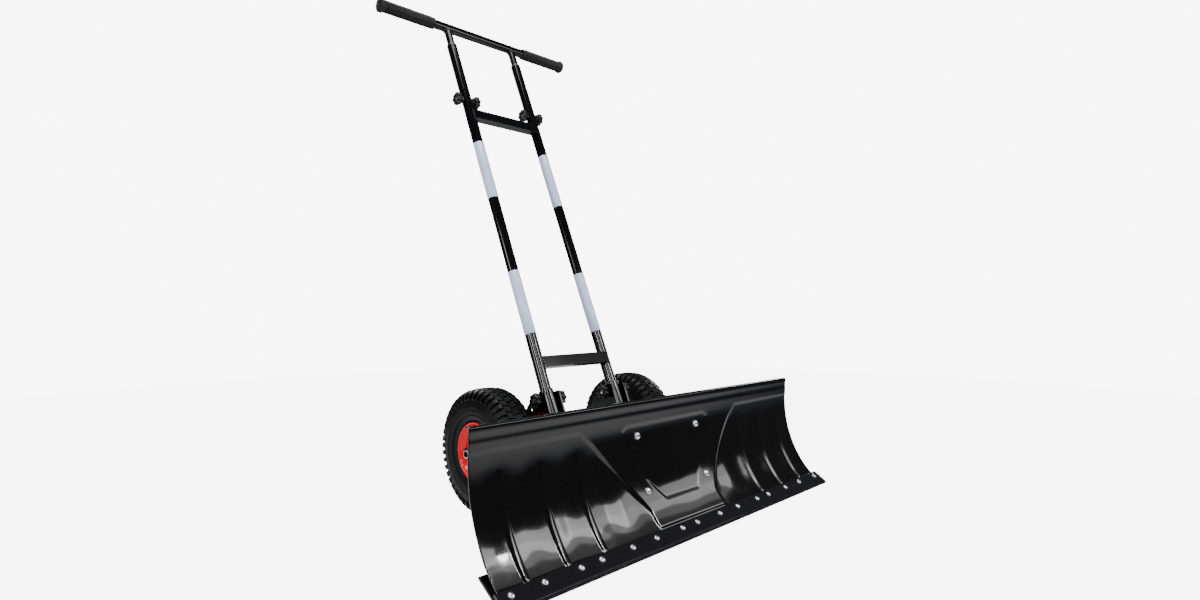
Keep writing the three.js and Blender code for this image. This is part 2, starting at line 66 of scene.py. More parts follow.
# ---- Places taken from the frame -------------------------------------------------------------
AXLE = middle("axle")
WHEEL_X = middle("tyre_right").x
POLE_X = middle("pole_right").x
TYRE_RADIUS = AXLE.z
TYRE_HALF = (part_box("tyre_right")[1].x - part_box("tyre_right")[0].x) / 2
RIM_RADIUS = (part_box("rim_outer_right")[1].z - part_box("rim_outer_right")[0].z) / 2
PIVOT = Vector(joint("handle_tilt")["pos_m"])
UP_POLE = Vector(joint("height_slide")["axis"]).normalized()
FORWARD = Vector((1, 0, 0)).cross(UP_POLE)
KING = Vector(joint("blade_swing")["pos_m"])
KING_PIN_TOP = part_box("king_pin")[1].z
BLADE_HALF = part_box("blade_shell")[1].x
EDGE_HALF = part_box("cutting_edge_4")[1].x


def frame_of(origin, x, y, z):
    """The matrix that takes local axes to three directions at an origin."""
    turn = Matrix((x, y, z)).transposed().to_4x4()
    return Matrix.Translation(origin) @ turn


# On the handle, local X is the object's X, local Y runs up the poles, local Z faces forward.
HANDLE = frame_of(PIVOT, Vector((1, 0, 0)), UP_POLE, FORWARD)


def axis_frame(origin, direction):
    """A matrix whose local Z runs along a direction."""
    z = Vector(direction).normalized()
    x = z.orthogonal().normalized() if abs(z.x) < 0.9 else Vector((0, 1, 0)).cross(z).normalized()
    return frame_of(Vector(origin), x, z.cross(x), z)


def on_handle(x, along, out=0.0):
    return HANDLE @ Vector((x, along, out))


# ---- Shader maths ----------------------------------------------------------------------------
class Value:
    """A node's output that can be used in arithmetic."""

    def __init__(self, shader, socket):
        self.shader = shader
        self.socket = socket

    def _math(self, operation, a, b):
        return self.shader.node("ShaderNodeMath", {0: a, 1: b}, operation=operation)

    def __add__(self, other):
        return self._math("ADD", self, other)

    def __radd__(self, other):
        return self._math("ADD", other, self)

    def __rsub__(self, other):
        return self._math("SUBTRACT", other, self)

    def __mul__(self, other):
        return self._math("MULTIPLY", self, other)

    def __truediv__(self, other):
        return self._math("DIVIDE", self, other)


class Shader:
    """A material under construction, with its Principled shader at hand."""

    def __init__(self, name, **uniform):
        self.material = bpy.data.materials.new(name)
        self.material.use_nodes = True
        self.nodes = self.material.node_tree.nodes
        self.links = self.material.node_tree.links
        self.principled = next(n for n in self.nodes if n.type == "BSDF_PRINCIPLED")
        for key, value in uniform.items():
            self.principled.inputs[key.replace("_", " ")].default_value = value
        self.place = self.node("ShaderNodeTexCoord", output="Object")

    def node(self, kind, inputs=None, output=0, stops=None, **settings):
        made = self.nodes.new(kind)
        for key, value in settings.items():
            setattr(made, key, value)
        if stops:
            ramp = made.color_ramp.elements
            while len(ramp) < len(stops):
                ramp.new(0.5)
            for element, (position, level) in zip(ramp, stops):
                element.position = position
                element.color = (level, level, level, 1)
        for key, value in (inputs or {}).items():
            self.feed(made.inputs[key], value)
        return Value(self, made.outputs[output])

    def feed(self, socket, value):
        if isinstance(value, Value):
            self.links.new(value.socket, socket)
        else:
            socket.default_value = value

    def noise(self, scale, detail=3.0, roughness=0.5, place=None):
        settings = {"Vector": place or self.place, "Scale": scale}
        settings.update({"Detail": detail, "Roughness": roughness})
        return self.node("ShaderNodeTexNoise", settings)

    def stretched(self, x, y, z):
        """Object coordinates scaled along each axis, for patterns with a direction."""
        return self.node("ShaderNodeMapping", {"Vector": self.place, "Scale": (x, y, z)})

    def ramp(self, factor, *stops):
        return self.node("ShaderNodeValToRGB", {"Fac": factor}, stops=stops)

    def height(self):
        return self.node("ShaderNodeSeparateXYZ", {0: self.place}, output="Z")

    def mix(self, factor, a, b):
        colours = {0: factor, 6: (*a, 1) if isinstance(a, tuple) else a}
        colours[7] = (*b, 1) if isinstance(b, tuple) else b
        return self.node("ShaderNodeMix", colours, output=2, data_type="RGBA")

    def set(self, name, value):
        self.feed(self.principled.inputs[name], value)

    def bump(self, *layers):
        """Layers of (height, distance), laid over each other."""
        normal = None
        for height, distance in layers:
            sockets = {"Height": height, "Distance": distance, "Strength": 1.0}
            if normal:
                sockets["Normal"] = normal
            normal = self.node("ShaderNodeBump", sockets)
        self.set("Normal", normal)


def enamel(name, colour, dusty, gloss, coat, shine=0.5):
    """Gloss enamel with faint orange peel, hairline scratches and a trace of dust low down."""
    s = Shader(name, IOR=1.48, Coat_Roughness=0.04, Specular_IOR_Level=shine)
    clouds = s.noise(9.0)
    hair = s.noise(1.0, 2.0, place=s.stretched(40, 260, 700))
    scratches = s.ramp(hair, (0.68, 0.0), (0.73, 1.0))
    low = s.ramp(s.height() / 0.09, (0.0, 1.0), (1.0, 0.0))
    dust = s.ramp(s.noise(85.0, 6.0, 0.7), (0.55, 0.0), (0.8, 1.0)) * low
    s.set("Base Color", s.mix(dust * 0.05 + clouds * 0.01, colour, dusty))
    s.set("Roughness", gloss + clouds * 0.03 + dust * 0.12 + scratches * 0.03)
    s.set("Coat Weight", coat - dust * coat)
    s.bump((s.noise(420.0, 1.0), 0.000007), (scratches, -0.000003))
    return s.material


def powder_coat(name, colour):
    """Smooth black powder coat on the tubes and plates, rubbed a little duller in patches."""
    s = Shader(name, IOR=1.5)
    clouds = s.noise(14.0)
    rubbed = s.ramp(s.noise(60.0, 6.0, 0.7), (0.62, 0.0), (0.82, 1.0))
    s.set("Base Color", s.mix(rubbed * 0.1, colour, (0.05, 0.05, 0.052)))
    s.set("Roughness", 0.08 + clouds * 0.05 + rubbed * 0.1)
    s.bump((clouds, 0.00004))
    return s.material


def worn_steel(name):
    """The cutting edge: black coated, with bright scuffs close to the ground."""
    s = Shader(name, IOR=1.5)
    scuffs = s.ramp(s.noise(1.0, 5.0, 0.7, s.stretched(60, 900, 900)), (0.56, 0.0), (0.66, 1.0))
    low = s.ramp(s.height() / 0.006, (0.0, 1.0), (1.0, 0.0))
    bare = scuffs * low
    clouds = s.noise(16.0)
    s.set("Base Color", s.mix(bare, (0.009, 0.009, 0.010), (0.32, 0.31, 0.30)))
    s.set("Metallic", bare * 0.9)
    s.set("Roughness", 0.09 + clouds * 0.05 + bare * 0.25)
    s.bump((s.noise(900.0, 2.0), 0.000004), (scuffs, -0.00001))
    return s.material


def tyre_rubber():
    """Matt rubber, lighter and rougher in random cloudy patches."""
    s = Shader("tyre_rubber", IOR=1.45, Specular_IOR_Level=0.22)
    grain = s.noise(900.0, 4.0, 0.6)
    clouds = s.ramp(s.noise(26.0, 5.0, 0.65), (0.4, 0.0), (0.75, 1.0))
    s.set("Base Color", s.mix(clouds * 0.3, (0.003, 0.003, 0.0035), (0.012, 0.0117, 0.0115)))
    s.set("Roughness", 0.36 + clouds * 0.22)
    s.bump((grain, 0.0001), (s.noise(120.0, 3.0), 0.0003))
    return s.material


def grip_rubber():
    s = Shader("ribbed_grip_rubber", IOR=1.45)
    clouds = s.noise(45.0, 4.0)
    s.set("Base Color", s.mix(clouds * 0.4, (0.006, 0.006, 0.0065), (0.014, 0.014, 0.0145)))
    s.set("Roughness", 0.45 + clouds * 0.2)
    s.bump((s.noise(1500.0, 3.0), 0.00006))
    return s.material


def moulded_plastic():
    """Knob plastic with a fine spark-eroded texture."""
    s = Shader("knob_plastic", IOR=1.46)
    grain = s.node("ShaderNodeTexVoronoi", {"Vector": s.place, "Scale": 900.0})
    clouds = s.noise(70.0, 3.0)
    s.set("Base Color", s.mix(clouds * 0.4, (0.004, 0.004, 0.0045), (0.010, 0.010, 0.011)))
    s.set("Roughness", 0.26 + clouds * 0.14)
    s.bump((grain, 0.00008))
    return s.material


def zinc(name, tint, roughness):
    """Bright plated steel, faintly mottled and brushed."""
    s = Shader(name)
    mottle = s.noise(160.0, 4.0, 0.6)
    brushed = s.noise(1.0, 2.0, place=s.stretched(300, 2500, 300))
    darker = tuple(v * 0.6 for v in tint)
    s.set("Base Color", s.mix(mottle * 0.8, tint, darker))
    s.set("Metallic", 0.92 + mottle * 0.08)
    s.set("Roughness", roughness + mottle * 0.16 + brushed * 0.06)
    s.bump((brushed, 0.00003), (mottle, 0.00006))
    return s.material


def reflective_tape():
    """White retroreflective film: a honeycomb of sealed cells under a clear face."""
    s = Shader("reflective_tape", IOR=1.5, Coat_Roughness=0.08)
    cells = {"Vector": s.place, "Scale": 420.0, "Randomness": 0.12}
    edge = s.node("ShaderNodeTexVoronoi", cells, feature="DISTANCE_TO_EDGE")
    walls = s.ramp(edge, (0.02, 1.0), (0.09, 0.0))
    clouds = s.noise(18.0)
    face = s.mix(clouds * 0.5, (0.60, 0.70, 1.0), (0.54, 0.63, 0.95))
    s.set("Base Color", s.mix(walls * 0.45, face, (0.92, 0.94, 1.0)))
    s.set("Roughness", 0.3 + walls * 0.2 + clouds * 0.1)
    s.set("Coat Weight", 0.4 + clouds * 0.2)
    s.bump((walls, 0.00003))
    return s.material


def weld_bead():
    s = Shader("painted_weld", IOR=1.5)
    ripple = s.noise(500.0, 2.0, 0.6)
    s.set("Base Color", s.mix(ripple * 0.4, (0.010, 0.010, 0.011), (0.03, 0.03, 0.03)))
    s.set("Roughness", 0.25 + ripple * 0.2)
    s.bump((ripple, 0.0005))
    return s.material


BLADE_ENAMEL = enamel("black_blade_enamel", (0.002, 0.002, 0.0023), (0.16, 0.15, 0.14), 0.1, 0.3)
RED_ENAMEL = enamel("red_rim_enamel", (0.7, 0.0, 0.008), (0.4, 0.1, 0.08), 0.1, 0.12, 0.25)
POWDER = powder_coat("black_powder_coat", (0.0025, 0.0025, 0.003))
EDGE_STEEL = worn_steel("black_cutting_edge")
TYRE = tyre_rubber()
GRIP = grip_rubber()
PLASTIC = moulded_plastic()
ZINC = zinc("bright_zinc", (0.93, 0.94, 0.96), 0.12)
BEARING = zinc("ground_bearing_steel", (0.55, 0.55, 0.56), 0.24)
TAPE = reflective_tape()
WELD = weld_bead()


# ---- Meshes ----------------------------------------------------------------------------------
MERGE_DISTANCE = 1e-6  # corners nearer than this become one


def crease(bm, angle):
    """Smooth faces, with sharp edges where two faces meet at more than an angle."""
    for face in bm.faces:
        face.smooth = True
    for edge in bm.edges:
        edge.smooth = edge.calc_face_angle(0) < math.radians(angle)


def outward(bm):
    bmesh.ops.recalc_face_normals(bm, faces=bm.faces)


def merged(bm):
    bmesh.ops.remove_doubles(bm, verts=bm.verts, dist=MERGE_DISTANCE)


def piece(name, bm, body, material, replaces=(), angle=38, bevel=0.0):
    """Makes a finished piece from a bmesh and puts it on its body."""
    crease(bm, angle)
    mesh = bpy.data.meshes.new(name)
    bm.to_mesh(mesh)
    bm.free()
    if material:
        mesh.materials.append(material)
    made = bpy.data.objects.new(name, mesh)
    bpy.context.scene.collection.objects.link(made)
    if bevel:
        edges = made.modifiers.new("edges", "BEVEL")
        edges.width = bevel
        edges.segments = 2
        edges.limit_method = "ANGLE"
        edges.angle_limit = math.radians(angle)
        edges.harden_normals = True
    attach(made, body)
    if replaces:
        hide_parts(*replaces)
    return made


def lathe(profile, count, place=None, bm=None):
    """Turns (radius, along) points about local Z. A radius of 0 closes the surface there."""
    bm = bm or bmesh.new()
    place = place or Matrix.Identity(4)
    rings = []
    for radius, along in profile:
        if radius < 1e-7:
            rings.append([bm.verts.new(place @ Vector((0, 0, along)))])
            continue
        turn = [i * TURN / count for i in range(count)]
        points = [Vector((radius * math.cos(a), radius * math.sin(a), along)) for a in turn]
        rings.append([bm.verts.new(place @ p) for p in points])
    made = []
    for lower, upper in zip(rings, rings[1:]):
        for i in range(count):
            j = (i + 1) % count
            corners = [lower[i % len(lower)], lower[j % len(lower)]]
            corners += [upper[j % len(upper)], upper[i % len(upper)]]
            unique = list(dict.fromkeys(corners))
            if len(unique) > 2:
                made.append(bm.faces.new(unique))
    bmesh.ops.recalc_face_normals(bm, faces=made)
    return bm


def mm(points):
    return [tuple(v * MM for v in point) for point in points]


def rounded(points, radius, steps=3):
    """Rounds the corners between the ends of a (radius, along) profile."""
    out = [points[0]]
    for before, corner, after in zip(points, points[1:], points[2:]):
        a, b, c = (Vector(p) for p in (before, corner, after))
        reach = min(radius, (a - b).length * 0.45, (c - b).length * 0.45)
        start = b + (a - b).normalized() * reach
        end = b + (c - b).normalized() * reach
        for i in range(steps + 1):
            t = i / steps
            point = start.lerp(b, t).lerp(b.lerp(end, t), t)
            out.append((max(point.x, 0.0), point.y))
    out.append(points[-1])
    return out


def torus(bm, place, radius, thickness, count=32, tube=8):
    profile = []
    for i in range(tube + 1):
        a = i * TURN / tube
        profile.append((radius + thickness * math.cos(a), thickness * math.sin(a)))
    lathe(profile, count, place, bm)
    merged(bm)
    return bm


def shifted(place, along):
    """A frame moved along its own Z, by millimetres."""
    return place @ Matrix.Translation((0, 0, along * MM))


def rod(bm, place, radius, length):
    """A plain round bar on local Z."""
    return lathe([(0.0, 0.0), (radius, 0.0), (radius, length), (0.0, length)], 24, place, bm)


def washer(bm, place, bore, radius, thickness, count=28):
    """A plain ring on local Z, its sizes in millimetres."""
    ring = [(bore, 0), (radius, 0), (radius, thickness), (bore, thickness)]
    return lathe(mm(ring), count, place, bm)


def hexagon(bm, place, across, thickness, bore=0.0):
    """A hexagon nut or head on local Z, with chamfered corners and an optional bore."""
    corner = across / math.sqrt(3)
    chamfer = (corner - across / 2) * 0.8
    rows = [(bore, 0.0), (across / 2 * 0.97, 0.0), (corner, chamfer * 0.6)]
    rows += [(corner, thickness - chamfer * 0.6), (across / 2 * 0.97, thickness), (bore, thickness)]
    start = len(bm.verts)
    if bore:
        rows.append((bore, 0.0))
    lathe(rows, 6, place, bm)
    if bore:
        new = list(bm.verts)[start:]
        bmesh.ops.remove_doubles(bm, verts=new, dist=MERGE_DISTANCE)
    return bm


def threaded_end(bm, place, radius, length, pitch=1.25 * MM):
    """A bolt's end: rings of thread and a chamfered tip, along local Z."""
    profile = [(radius * 0.86, 0.0)]
    turns = max(2, int(length / pitch) - 1)
    for i in range(turns):
        profile.append((radius, (i + 0.25) * pitch))
        profile.append((radius, (i + 0.5) * pitch))
        profile.append((radius * 0.88, (i + 0.9) * pitch))
    profile += [(radius * 0.8, length), (0.0, length)]
    return lathe(profile, 20, place, bm)


def refined(node, body, material, bevel=0.6 * MM, angle=32):
    """A CAD node's own shape with clean faces, rounded edges and smooth round stretches."""
    bm = bmesh.new()
    bm.from_mesh(frame["nodes"][node].data)
    merged(bm)
    flat = math.radians(0.5)
    bmesh.ops.dissolve_limit(bm, angle_limit=flat, verts=bm.verts, edges=bm.edges)
    return piece(f"{node}_finished", bm, body, material, (node,), angle, bevel)


# ---- Repeated pieces -------------------------------------------------------------------------
class Pattern:
    """A Geometry Nodes tree that sets copies of a small master piece out by a rule."""

    def __init__(self, name, sizes):
        self.tree = bpy.data.node_groups.new(name, "GeometryNodeTree")
        self.inputs = {}
        face = self.tree.interface
        for label, kind in (("Piece", "NodeSocketObject"), ("Finish", "NodeSocketMaterial")):
            face.new_socket(label, in_out="INPUT", socket_type=kind)
        for label, kind in sizes.items():
            face.new_socket(label, in_out="INPUT", socket_type=kind)
        face.new_socket("Geometry", in_out="OUTPUT", socket_type="NodeSocketGeometry")
        self.group = self.tree.nodes.new("NodeGroupInput")
        self.result = self.tree.nodes.new("NodeGroupOutput")

    def node(self, kind, inputs=None, output=0, **settings):
        made = self.tree.nodes.new(kind)
        for key, value in settings.items():
            setattr(made, key, value)
        for key, value in (inputs or {}).items():
            if isinstance(value, bpy.types.NodeSocket):
                self.tree.links.new(value, made.inputs[key])
            else:
                made.inputs[key].default_value = value
        return made.outputs[output]

    def size(self, label):
        return self.group.outputs[label]

    def close(self, instances):
        real = self.node("GeometryNodeRealizeInstances", {"Geometry": instances})
        fields = {"Geometry": real, "Material": self.size("Finish")}
        finished = self.node("GeometryNodeSetMaterial", fields)
        self.tree.links.new(finished, self.result.inputs[0])

    def master(self):
        return self.node("GeometryNodeObjectInfo", {"Object": self.size("Piece")}, "Geometry")

    def make(self, name, master, finish, **sizes):
        """Runs the tree and returns its result as a bmesh."""
        carrier = bpy.data.objects.new(name, bpy.data.meshes.new(name))
        bpy.context.scene.collection.objects.link(carrier)
        modifier = carrier.modifiers.new("pattern", "NODES")
        modifier.node_group = self.tree
        values = {"Piece": master, "Finish": finish, **sizes}
        for item in self.tree.interface.items_tree:
            if item.in_out == "INPUT":
                modifier[item.identifier] = values[item.name.replace(" ", "_")]
        graph = bpy.context.evaluated_depsgraph_get()
        mesh = bpy.data.meshes.new_from_object(carrier.evaluated_get(graph))
        bm = bmesh.new()
        bm.from_mesh(mesh)
        carrier.modifiers.remove(modifier)
        bpy.data.objects.remove(carrier)
        bpy.data.meshes.remove(mesh)
        bpy.data.objects.remove(master)
        return bm


def master_piece(bm, angle=40):
    crease(bm, angle)
    mesh = bpy.data.meshes.new("master")
    bm.to_mesh(mesh)
    bm.free()
    made = bpy.data.objects.new("master", mesh)
    bpy.context.scene.collection.objects.link(made)
    return made


def ring_pattern():
    """Copies round the X axis at the origin, each turned with its place."""
    p = Pattern("round_the_wheel", {"Count": "NodeSocketInt", "Phase": "NodeSocketFloat"})
    stacked = {"Vertices": p.size("Count"), "Radius": 0.0}
    points = p.node("GeometryNodeMeshCircle", stacked)
    index = p.node("GeometryNodeInputIndex")
    step = p.node("ShaderNodeMath", {0: TURN, 1: p.size("Count")}, operation="DIVIDE")
    angle = p.node("ShaderNodeMath", {0: index, 1: step}, operation="MULTIPLY")
    turn = p.node("ShaderNodeMath", {0: angle, 1: p.size("Phase")}, operation="ADD")
    rotation = p.node("ShaderNodeCombineXYZ", {"X": turn})
    fields = {"Points": points, "Instance": p.master(), "Rotation": rotation}
    p.close(p.node("GeometryNodeInstanceOnPoints", fields))
    return p


def row_pattern():
    """Copies along a straight line, a step apart, from a start."""
    sizes = {"Count": "NodeSocketInt", "Start": "NodeSocketVector", "Step": "NodeSocketVector"}
    p = Pattern("along_a_line", sizes)
    line = {"Count": p.size("Count"), "Start Location": p.size("Start"), "Offset": p.size("Step")}
    points = p.node("GeometryNodeMeshLine", line, mode="OFFSET")
    p.close(p.node("GeometryNodeInstanceOnPoints", {"Points": points, "Instance": p.master()}))
    return p


ROUND = ring_pattern()
ROW = row_pattern()


def join(bm, other, place=None):
    """Adds another bmesh's faces to bm, moved by a matrix."""
    if place:
        other.transform(place)
    mesh = bpy.data.meshes.new("part")
    other.to_mesh(mesh)
    other.free()
    bm.from_mesh(mesh)
    bpy.data.meshes.remove(mesh)
    return bm


# ---- Blade -----------------------------------------------------------------------------------
# The blade's curve repeats the one in the part's source: top, two handles, and the foot.
AXLE_Y = AXLE.y
FOOT_Y = AXLE_Y - 394 * MM
SLOPE = math.radians(33)
SHEET = 2.5 * MM


def on_foot(up, out=0.0):
    """A (y, z) point on the foot's plane: up the slope, and out from its front side."""
    c, s = math.cos(SLOPE), math.sin(SLOPE)
    return Vector((FOOT_Y + up * c - out * s, up * s + out * c))


TOP = Vector((AXLE_Y - 298 * MM, 242 * MM))
HANDLES = (Vector((AXLE_Y - 276 * MM, 95 * MM)), on_foot(42 * MM))


def blade_line():
    """The front surface in side view, from the folded lip's back to the foot, evenly spaced."""
    roll = 3.5 * MM
    lip = [Vector((TOP.x + 11.5 * MM, TOP.y)), Vector((TOP.x + roll, TOP.y))]
    for i in range(1, 6):
        a = i / 6 * math.pi / 2
        corner = TOP + Vector((roll * (1 - math.sin(a)), -roll * (1 - math.cos(a))))
        lip.append(corner)
    curve = []
    ends = (TOP, *HANDLES, on_foot(36 * MM))
    for i in range(1, 201):
        t = 0.022 + i / 200 * 0.978
        weights = ((1 - t) ** 3, 3 * t * (1 - t) ** 2, 3 * t * t * (1 - t), t**3)
        curve.append(sum((p * w for p, w in zip(ends, weights)), Vector((0, 0))))
    raw = [*lip, *curve, on_foot(7 * MM)]
    lengths = [0.0]
    for a, b in zip(raw, raw[1:]):
        lengths.append(lengths[-1] + (b - a).length)
    return np.array(raw), np.array(lengths)


RAW_LINE, RAW_LENGTHS = blade_line()
ARC_LENGTH = RAW_LENGTHS[-1]


def arc_at_height(z):
    """How far down the surface a height is, in metres from the lip's back edge."""
    return float(np.interp(-z, -RAW_LINE[6:, 1], RAW_LENGTHS[6:]))


def blade_at(arc):
    """The (y, z) point and outward normal of the front surface at an arc length."""
    y = np.interp(arc, RAW_LENGTHS, RAW_LINE[:, 0])
    z = np.interp(arc, RAW_LENGTHS, RAW_LINE[:, 1])
    reach = 1.5 * MM
    ahead, behind = np.minimum(arc + reach, ARC_LENGTH), np.maximum(arc - reach, 0)
    dy, dz = (
        np.interp(ahead, RAW_LENGTHS, line) - np.interp(behind, RAW_LENGTHS, line)
        for line in RAW_LINE.T
    )
    size = np.hypot(dy, dz)
    return (y, z), (dz / size, -dy / size)


def segment_distance(x, s, a, b):
    (ax, as_), (bx, bs) = a, b
    dx, ds = bx - ax, bs - as_
    along = np.clip(((x - ax) * dx + (s - as_) * ds) / (dx * dx + ds * ds), 0, 1)
    return np.hypot(x - ax - along * dx, s - as_ - along * ds)


def polygon_distance(x, s, corners):
    """Signed distance to a closed outline, negative inside."""
    nearest = np.full(x.shape, 1e3)
    inside = np.zeros(x.shape, bool)
    for a, b in zip(corners, corners[1:] + corners[:1]):
        nearest = np.minimum(nearest, segment_distance(x, s, a, b))
        crosses = (a[1] > s) != (b[1] > s)
        rise = (b[1] - a[1]) or 1e-12
        inside ^= crosses & (x < a[0] + (s - a[1]) * (b[0] - a[0]) / rise)
    return np.where(inside, -nearest, nearest)


def step(distance, width):
    """1 well inside an outline, 0 well outside, with a smooth pressed wall between."""
    t = np.clip(0.5 - distance / width, 0, 1)
    return t * t * (3 - 2 * t)


# Outlines are (x, height) in millimetres; the side panels' are on the right-hand half.
SIDE_PANEL = (
    ((490, 203), (238, 203), (206, 176), (158, 122))
    + ((111, 64), (101, 50), (101, -5), (490, -5))
)
CENTRE_PAD = (
    ((-118, 199), (118, 199), (133, 190), (124, 150))
    + ((112, 128), (-112, 128), (-124, 150), (-133, 190))
)
POCKET = ((-88, 101), (-50, 59), (50, 59), (88, 110), (60, 126), (-60, 126))
RIB_PLACES = (245, 326, 408)
RIB_TOP, RIB_BOTTOM, RIB_HALF = 163, 24, 7.0
FUNNEL_FOOT = 22  # the height where the raised funnel between the side panels ends


def surface_outline(points):
    return [(x * MM, arc_at_height(z * MM)) for x, z in points]


def between(s, start, end):
    """0 before a height, 1 past another, down the blade's surface."""
    start, end = arc_at_height(start * MM), arc_at_height(end * MM)
    t = np.clip((s - start) / (end - start), 0, 1)
    return t * t * (3 - 2 * t)


def pressing(x, s):
    """How far the stamped sheet stands forward of its plain curve, in metres."""
    wide = np.abs(x)
    side = step(polygon_distance(wide, s, surface_outline(SIDE_PANEL)) + 1.5 * MM, 7 * MM)
    below = between(s, FUNNEL_FOOT + 3, FUNNEL_FOOT - 1)
    height = (1.0 + 1.5 * between(s, 198, 150)) * (1 - side) * (1 - below)
    pad = polygon_distance(x, s, surface_outline(CENTRE_PAD))
    height -= 1.2 * step(pad + 1.5 * MM, 7 * MM) * (1 - between(s, 182, 152))
    pocket = polygon_distance(x, s, surface_outline(POCKET))
    height -= 1.2 * step(pocket + 1 * MM, 9 * MM) * between(s, 118, 78)
    for place in RIB_PLACES:
        ends = surface_outline(((place, RIB_TOP), (place, RIB_BOTTOM)))
        rib = segment_distance(wide, s, *ends) - RIB_HALF * MM
        height += (0.8 + 0.8 * between(s, 130, 70)) * step(rib + 2.5 * MM, 5 * MM)
    pitch = (RIB_PLACES[1] - RIB_PLACES[0]) * MM
    drawn = np.cos((wide - RIB_PLACES[0] * MM) * TURN / pitch) * side
    height += 0.7 * drawn * between(s, 190, 120) * (1 - between(s, 60, 30))
    ripple = np.sin(x / (19 * MM) + s / (31 * MM)) * np.sin(s / (23 * MM) - x / (57 * MM))
    height += 0.25 * ripple * between(s, 180, 130)
    return height * MM


def blade_sheet():
    """The stamped blade: a grid over the curve, pressed, then given its thickness."""
    columns, rows = ((380, 112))
    xs = np.linspace(-BLADE_HALF, BLADE_HALF, columns + 1)
    arcs = np.concatenate([RAW_LENGTHS[:8], np.linspace(RAW_LENGTHS[8], ARC_LENGTH, rows)])
    x, s = np.meshgrid(xs, arcs, indexing="ij")
    (y, z), (ny, nz) = blade_at(s)
    out = pressing(x, s) * step(RAW_LENGTHS[12] - s, 11 * MM)
    points = np.stack([x, y + ny * out, z + nz * out], axis=-1)
    bm = bmesh.new()
    grid = [[bm.verts.new(p) for p in column] for column in points]
    for a, b in zip(grid, grid[1:]):
        for j in range(len(arcs) - 1):
            bm.faces.new((a[j], b[j], b[j + 1], a[j + 1]))
    outward(bm)
    forward = sum(f.normal.y for f in bm.faces)
    if forward > 0:
        bmesh.ops.reverse_faces(bm, faces=bm.faces)
    made = piece("stamped_blade", bm, "blade", BLADE_ENAMEL, ("blade_shell",), 60)
    wall = made.modifiers.new("sheet", "SOLIDIFY")
    wall.thickness = SHEET
    wall.offset = -1


def on_blade(x, z, out=0.0):
    """A frame on the blade's front at x and a height, local Z pointing forwards."""
    (y, height), (ny, nz) = blade_at(arc_at_height(z))
    return axis_frame((x, y + ny * out, height + nz * out), (0, ny, nz))


def foot_frame(x, up, out=0.0):
    y, z = on_foot(up, out)
    return axis_frame((x, y, z), (0, -math.sin(SLOPE), math.cos(SLOPE)))


STRIP_FACE = 5.3 * MM  # how far the cutting edge's face stands out from the foot's plane
EDGE_BOLTS_UP = 25 * MM  # how far up the foot's slope the edge bolts sit
NUTS_BACK = -7.0 * MM


def cutting_edges():
    """Four lengths of edge with ground lower corners and eased ends."""
    for i in range(1, 5):
        low, high = (corner.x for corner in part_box(f"cutting_edge_{i}"))
        outline = [on_foot(u * MM, o * MM) for u, o in
                   ((-0.3, 0.3), (36, 0.3), (36, 5.3), (4.6, 5.3), (-0.2, 1.6))]
        bm = bmesh.new()
        ends = [[bm.verts.new((x, p.x, max(p.y, 0.00002))) for p in outline] for x in (low, high)]
        bm.faces.new(ends[0])
        bm.faces.new(ends[1])
        for j in range(len(outline)):
            k = (j + 1) % len(outline)
            bm.faces.new((ends[0][j], ends[0][k], ends[1][k], ends[1][j]))
        outward(bm)
        node = (f"cutting_edge_{i}",)
        piece(f"edge_length_{i}", bm, "blade", EDGE_STEEL, node, 20, 0.5 * MM)


def dome_head(bm, place, radius, height):
    """A button head with a low washer collar under it, on local Z."""
    profile = [(0.0, height)]
    for i in range(1, 7):
        a = i / 6 * math.pi / 2
        profile.append((radius * math.sin(a), height * (0.16 + 0.84 * math.cos(a))))
    profile += [(radius * 0.98, 0.0), (radius * 0.3, 0.0)]
    return lathe(profile, 20, place, bm)


def edge_bolts():
    """Button heads along the edge and flanged nuts behind the backing bar."""
    gap_a, gap_b, gap_c = 73.6 * MM, 61.8 * MM, 45 * MM
    place = -EDGE_HALF + gap_c / 2
    places = [place]
    for gap in (gap_b, gap_a) + 3 * (gap_c, gap_a, gap_b, gap_a):
        places.append(places[-1] + gap)
    heads, nuts = bmesh.new(), bmesh.new()
    lengths = [places[0:3], places[3:7], places[7:11], places[11:15]]
    pairs = [pair for length in lengths for pair in zip(length[::2], length[1::2])]
    for first, second in [*pairs, (places[2], None)]:
        count = 2 if second else 1
        apart = (second - first) if second else 0.0
        for bm, out, flip in ((heads, STRIP_FACE + 0.1 * MM, 1), (nuts, NUTS_BACK, -1)):
            master = bmesh.new()
            start = foot_frame(first, EDGE_BOLTS_UP, out)
            turn = start.to_3x3().to_4x4() @ Matrix.Diagonal((1, 1, flip, 1))
            if flip > 0:
                dome_head(master, turn, 5.4 * MM, 3.3 * MM)
            else:
                lathe(mm([(0, 0.0), (6.6, 0.0), (6.6, 1.2), (3, 1.2)]), 18, turn, master)
                hexagon(master, shifted(turn, 1.2), 9 * MM, 4 * MM)
                threaded_end(master, shifted(turn, 5.2), 3 * MM, 2 * MM)
            outward(master)
            made = ROW.make("row", master_piece(master), ZINC, Count=count,
                            Start=start.translation, Step=Vector((apart, 0, 0)))
            join(bm, made)
    piece("edge_bolt_heads", heads, "blade", ZINC)
    piece("edge_bolt_nuts", nuts, "blade", ZINC)


BOLT_SEAT = {"lower": 2.2 * MM, "upper": 0.8 * MM}  # the pressed sheet's height at the bolts


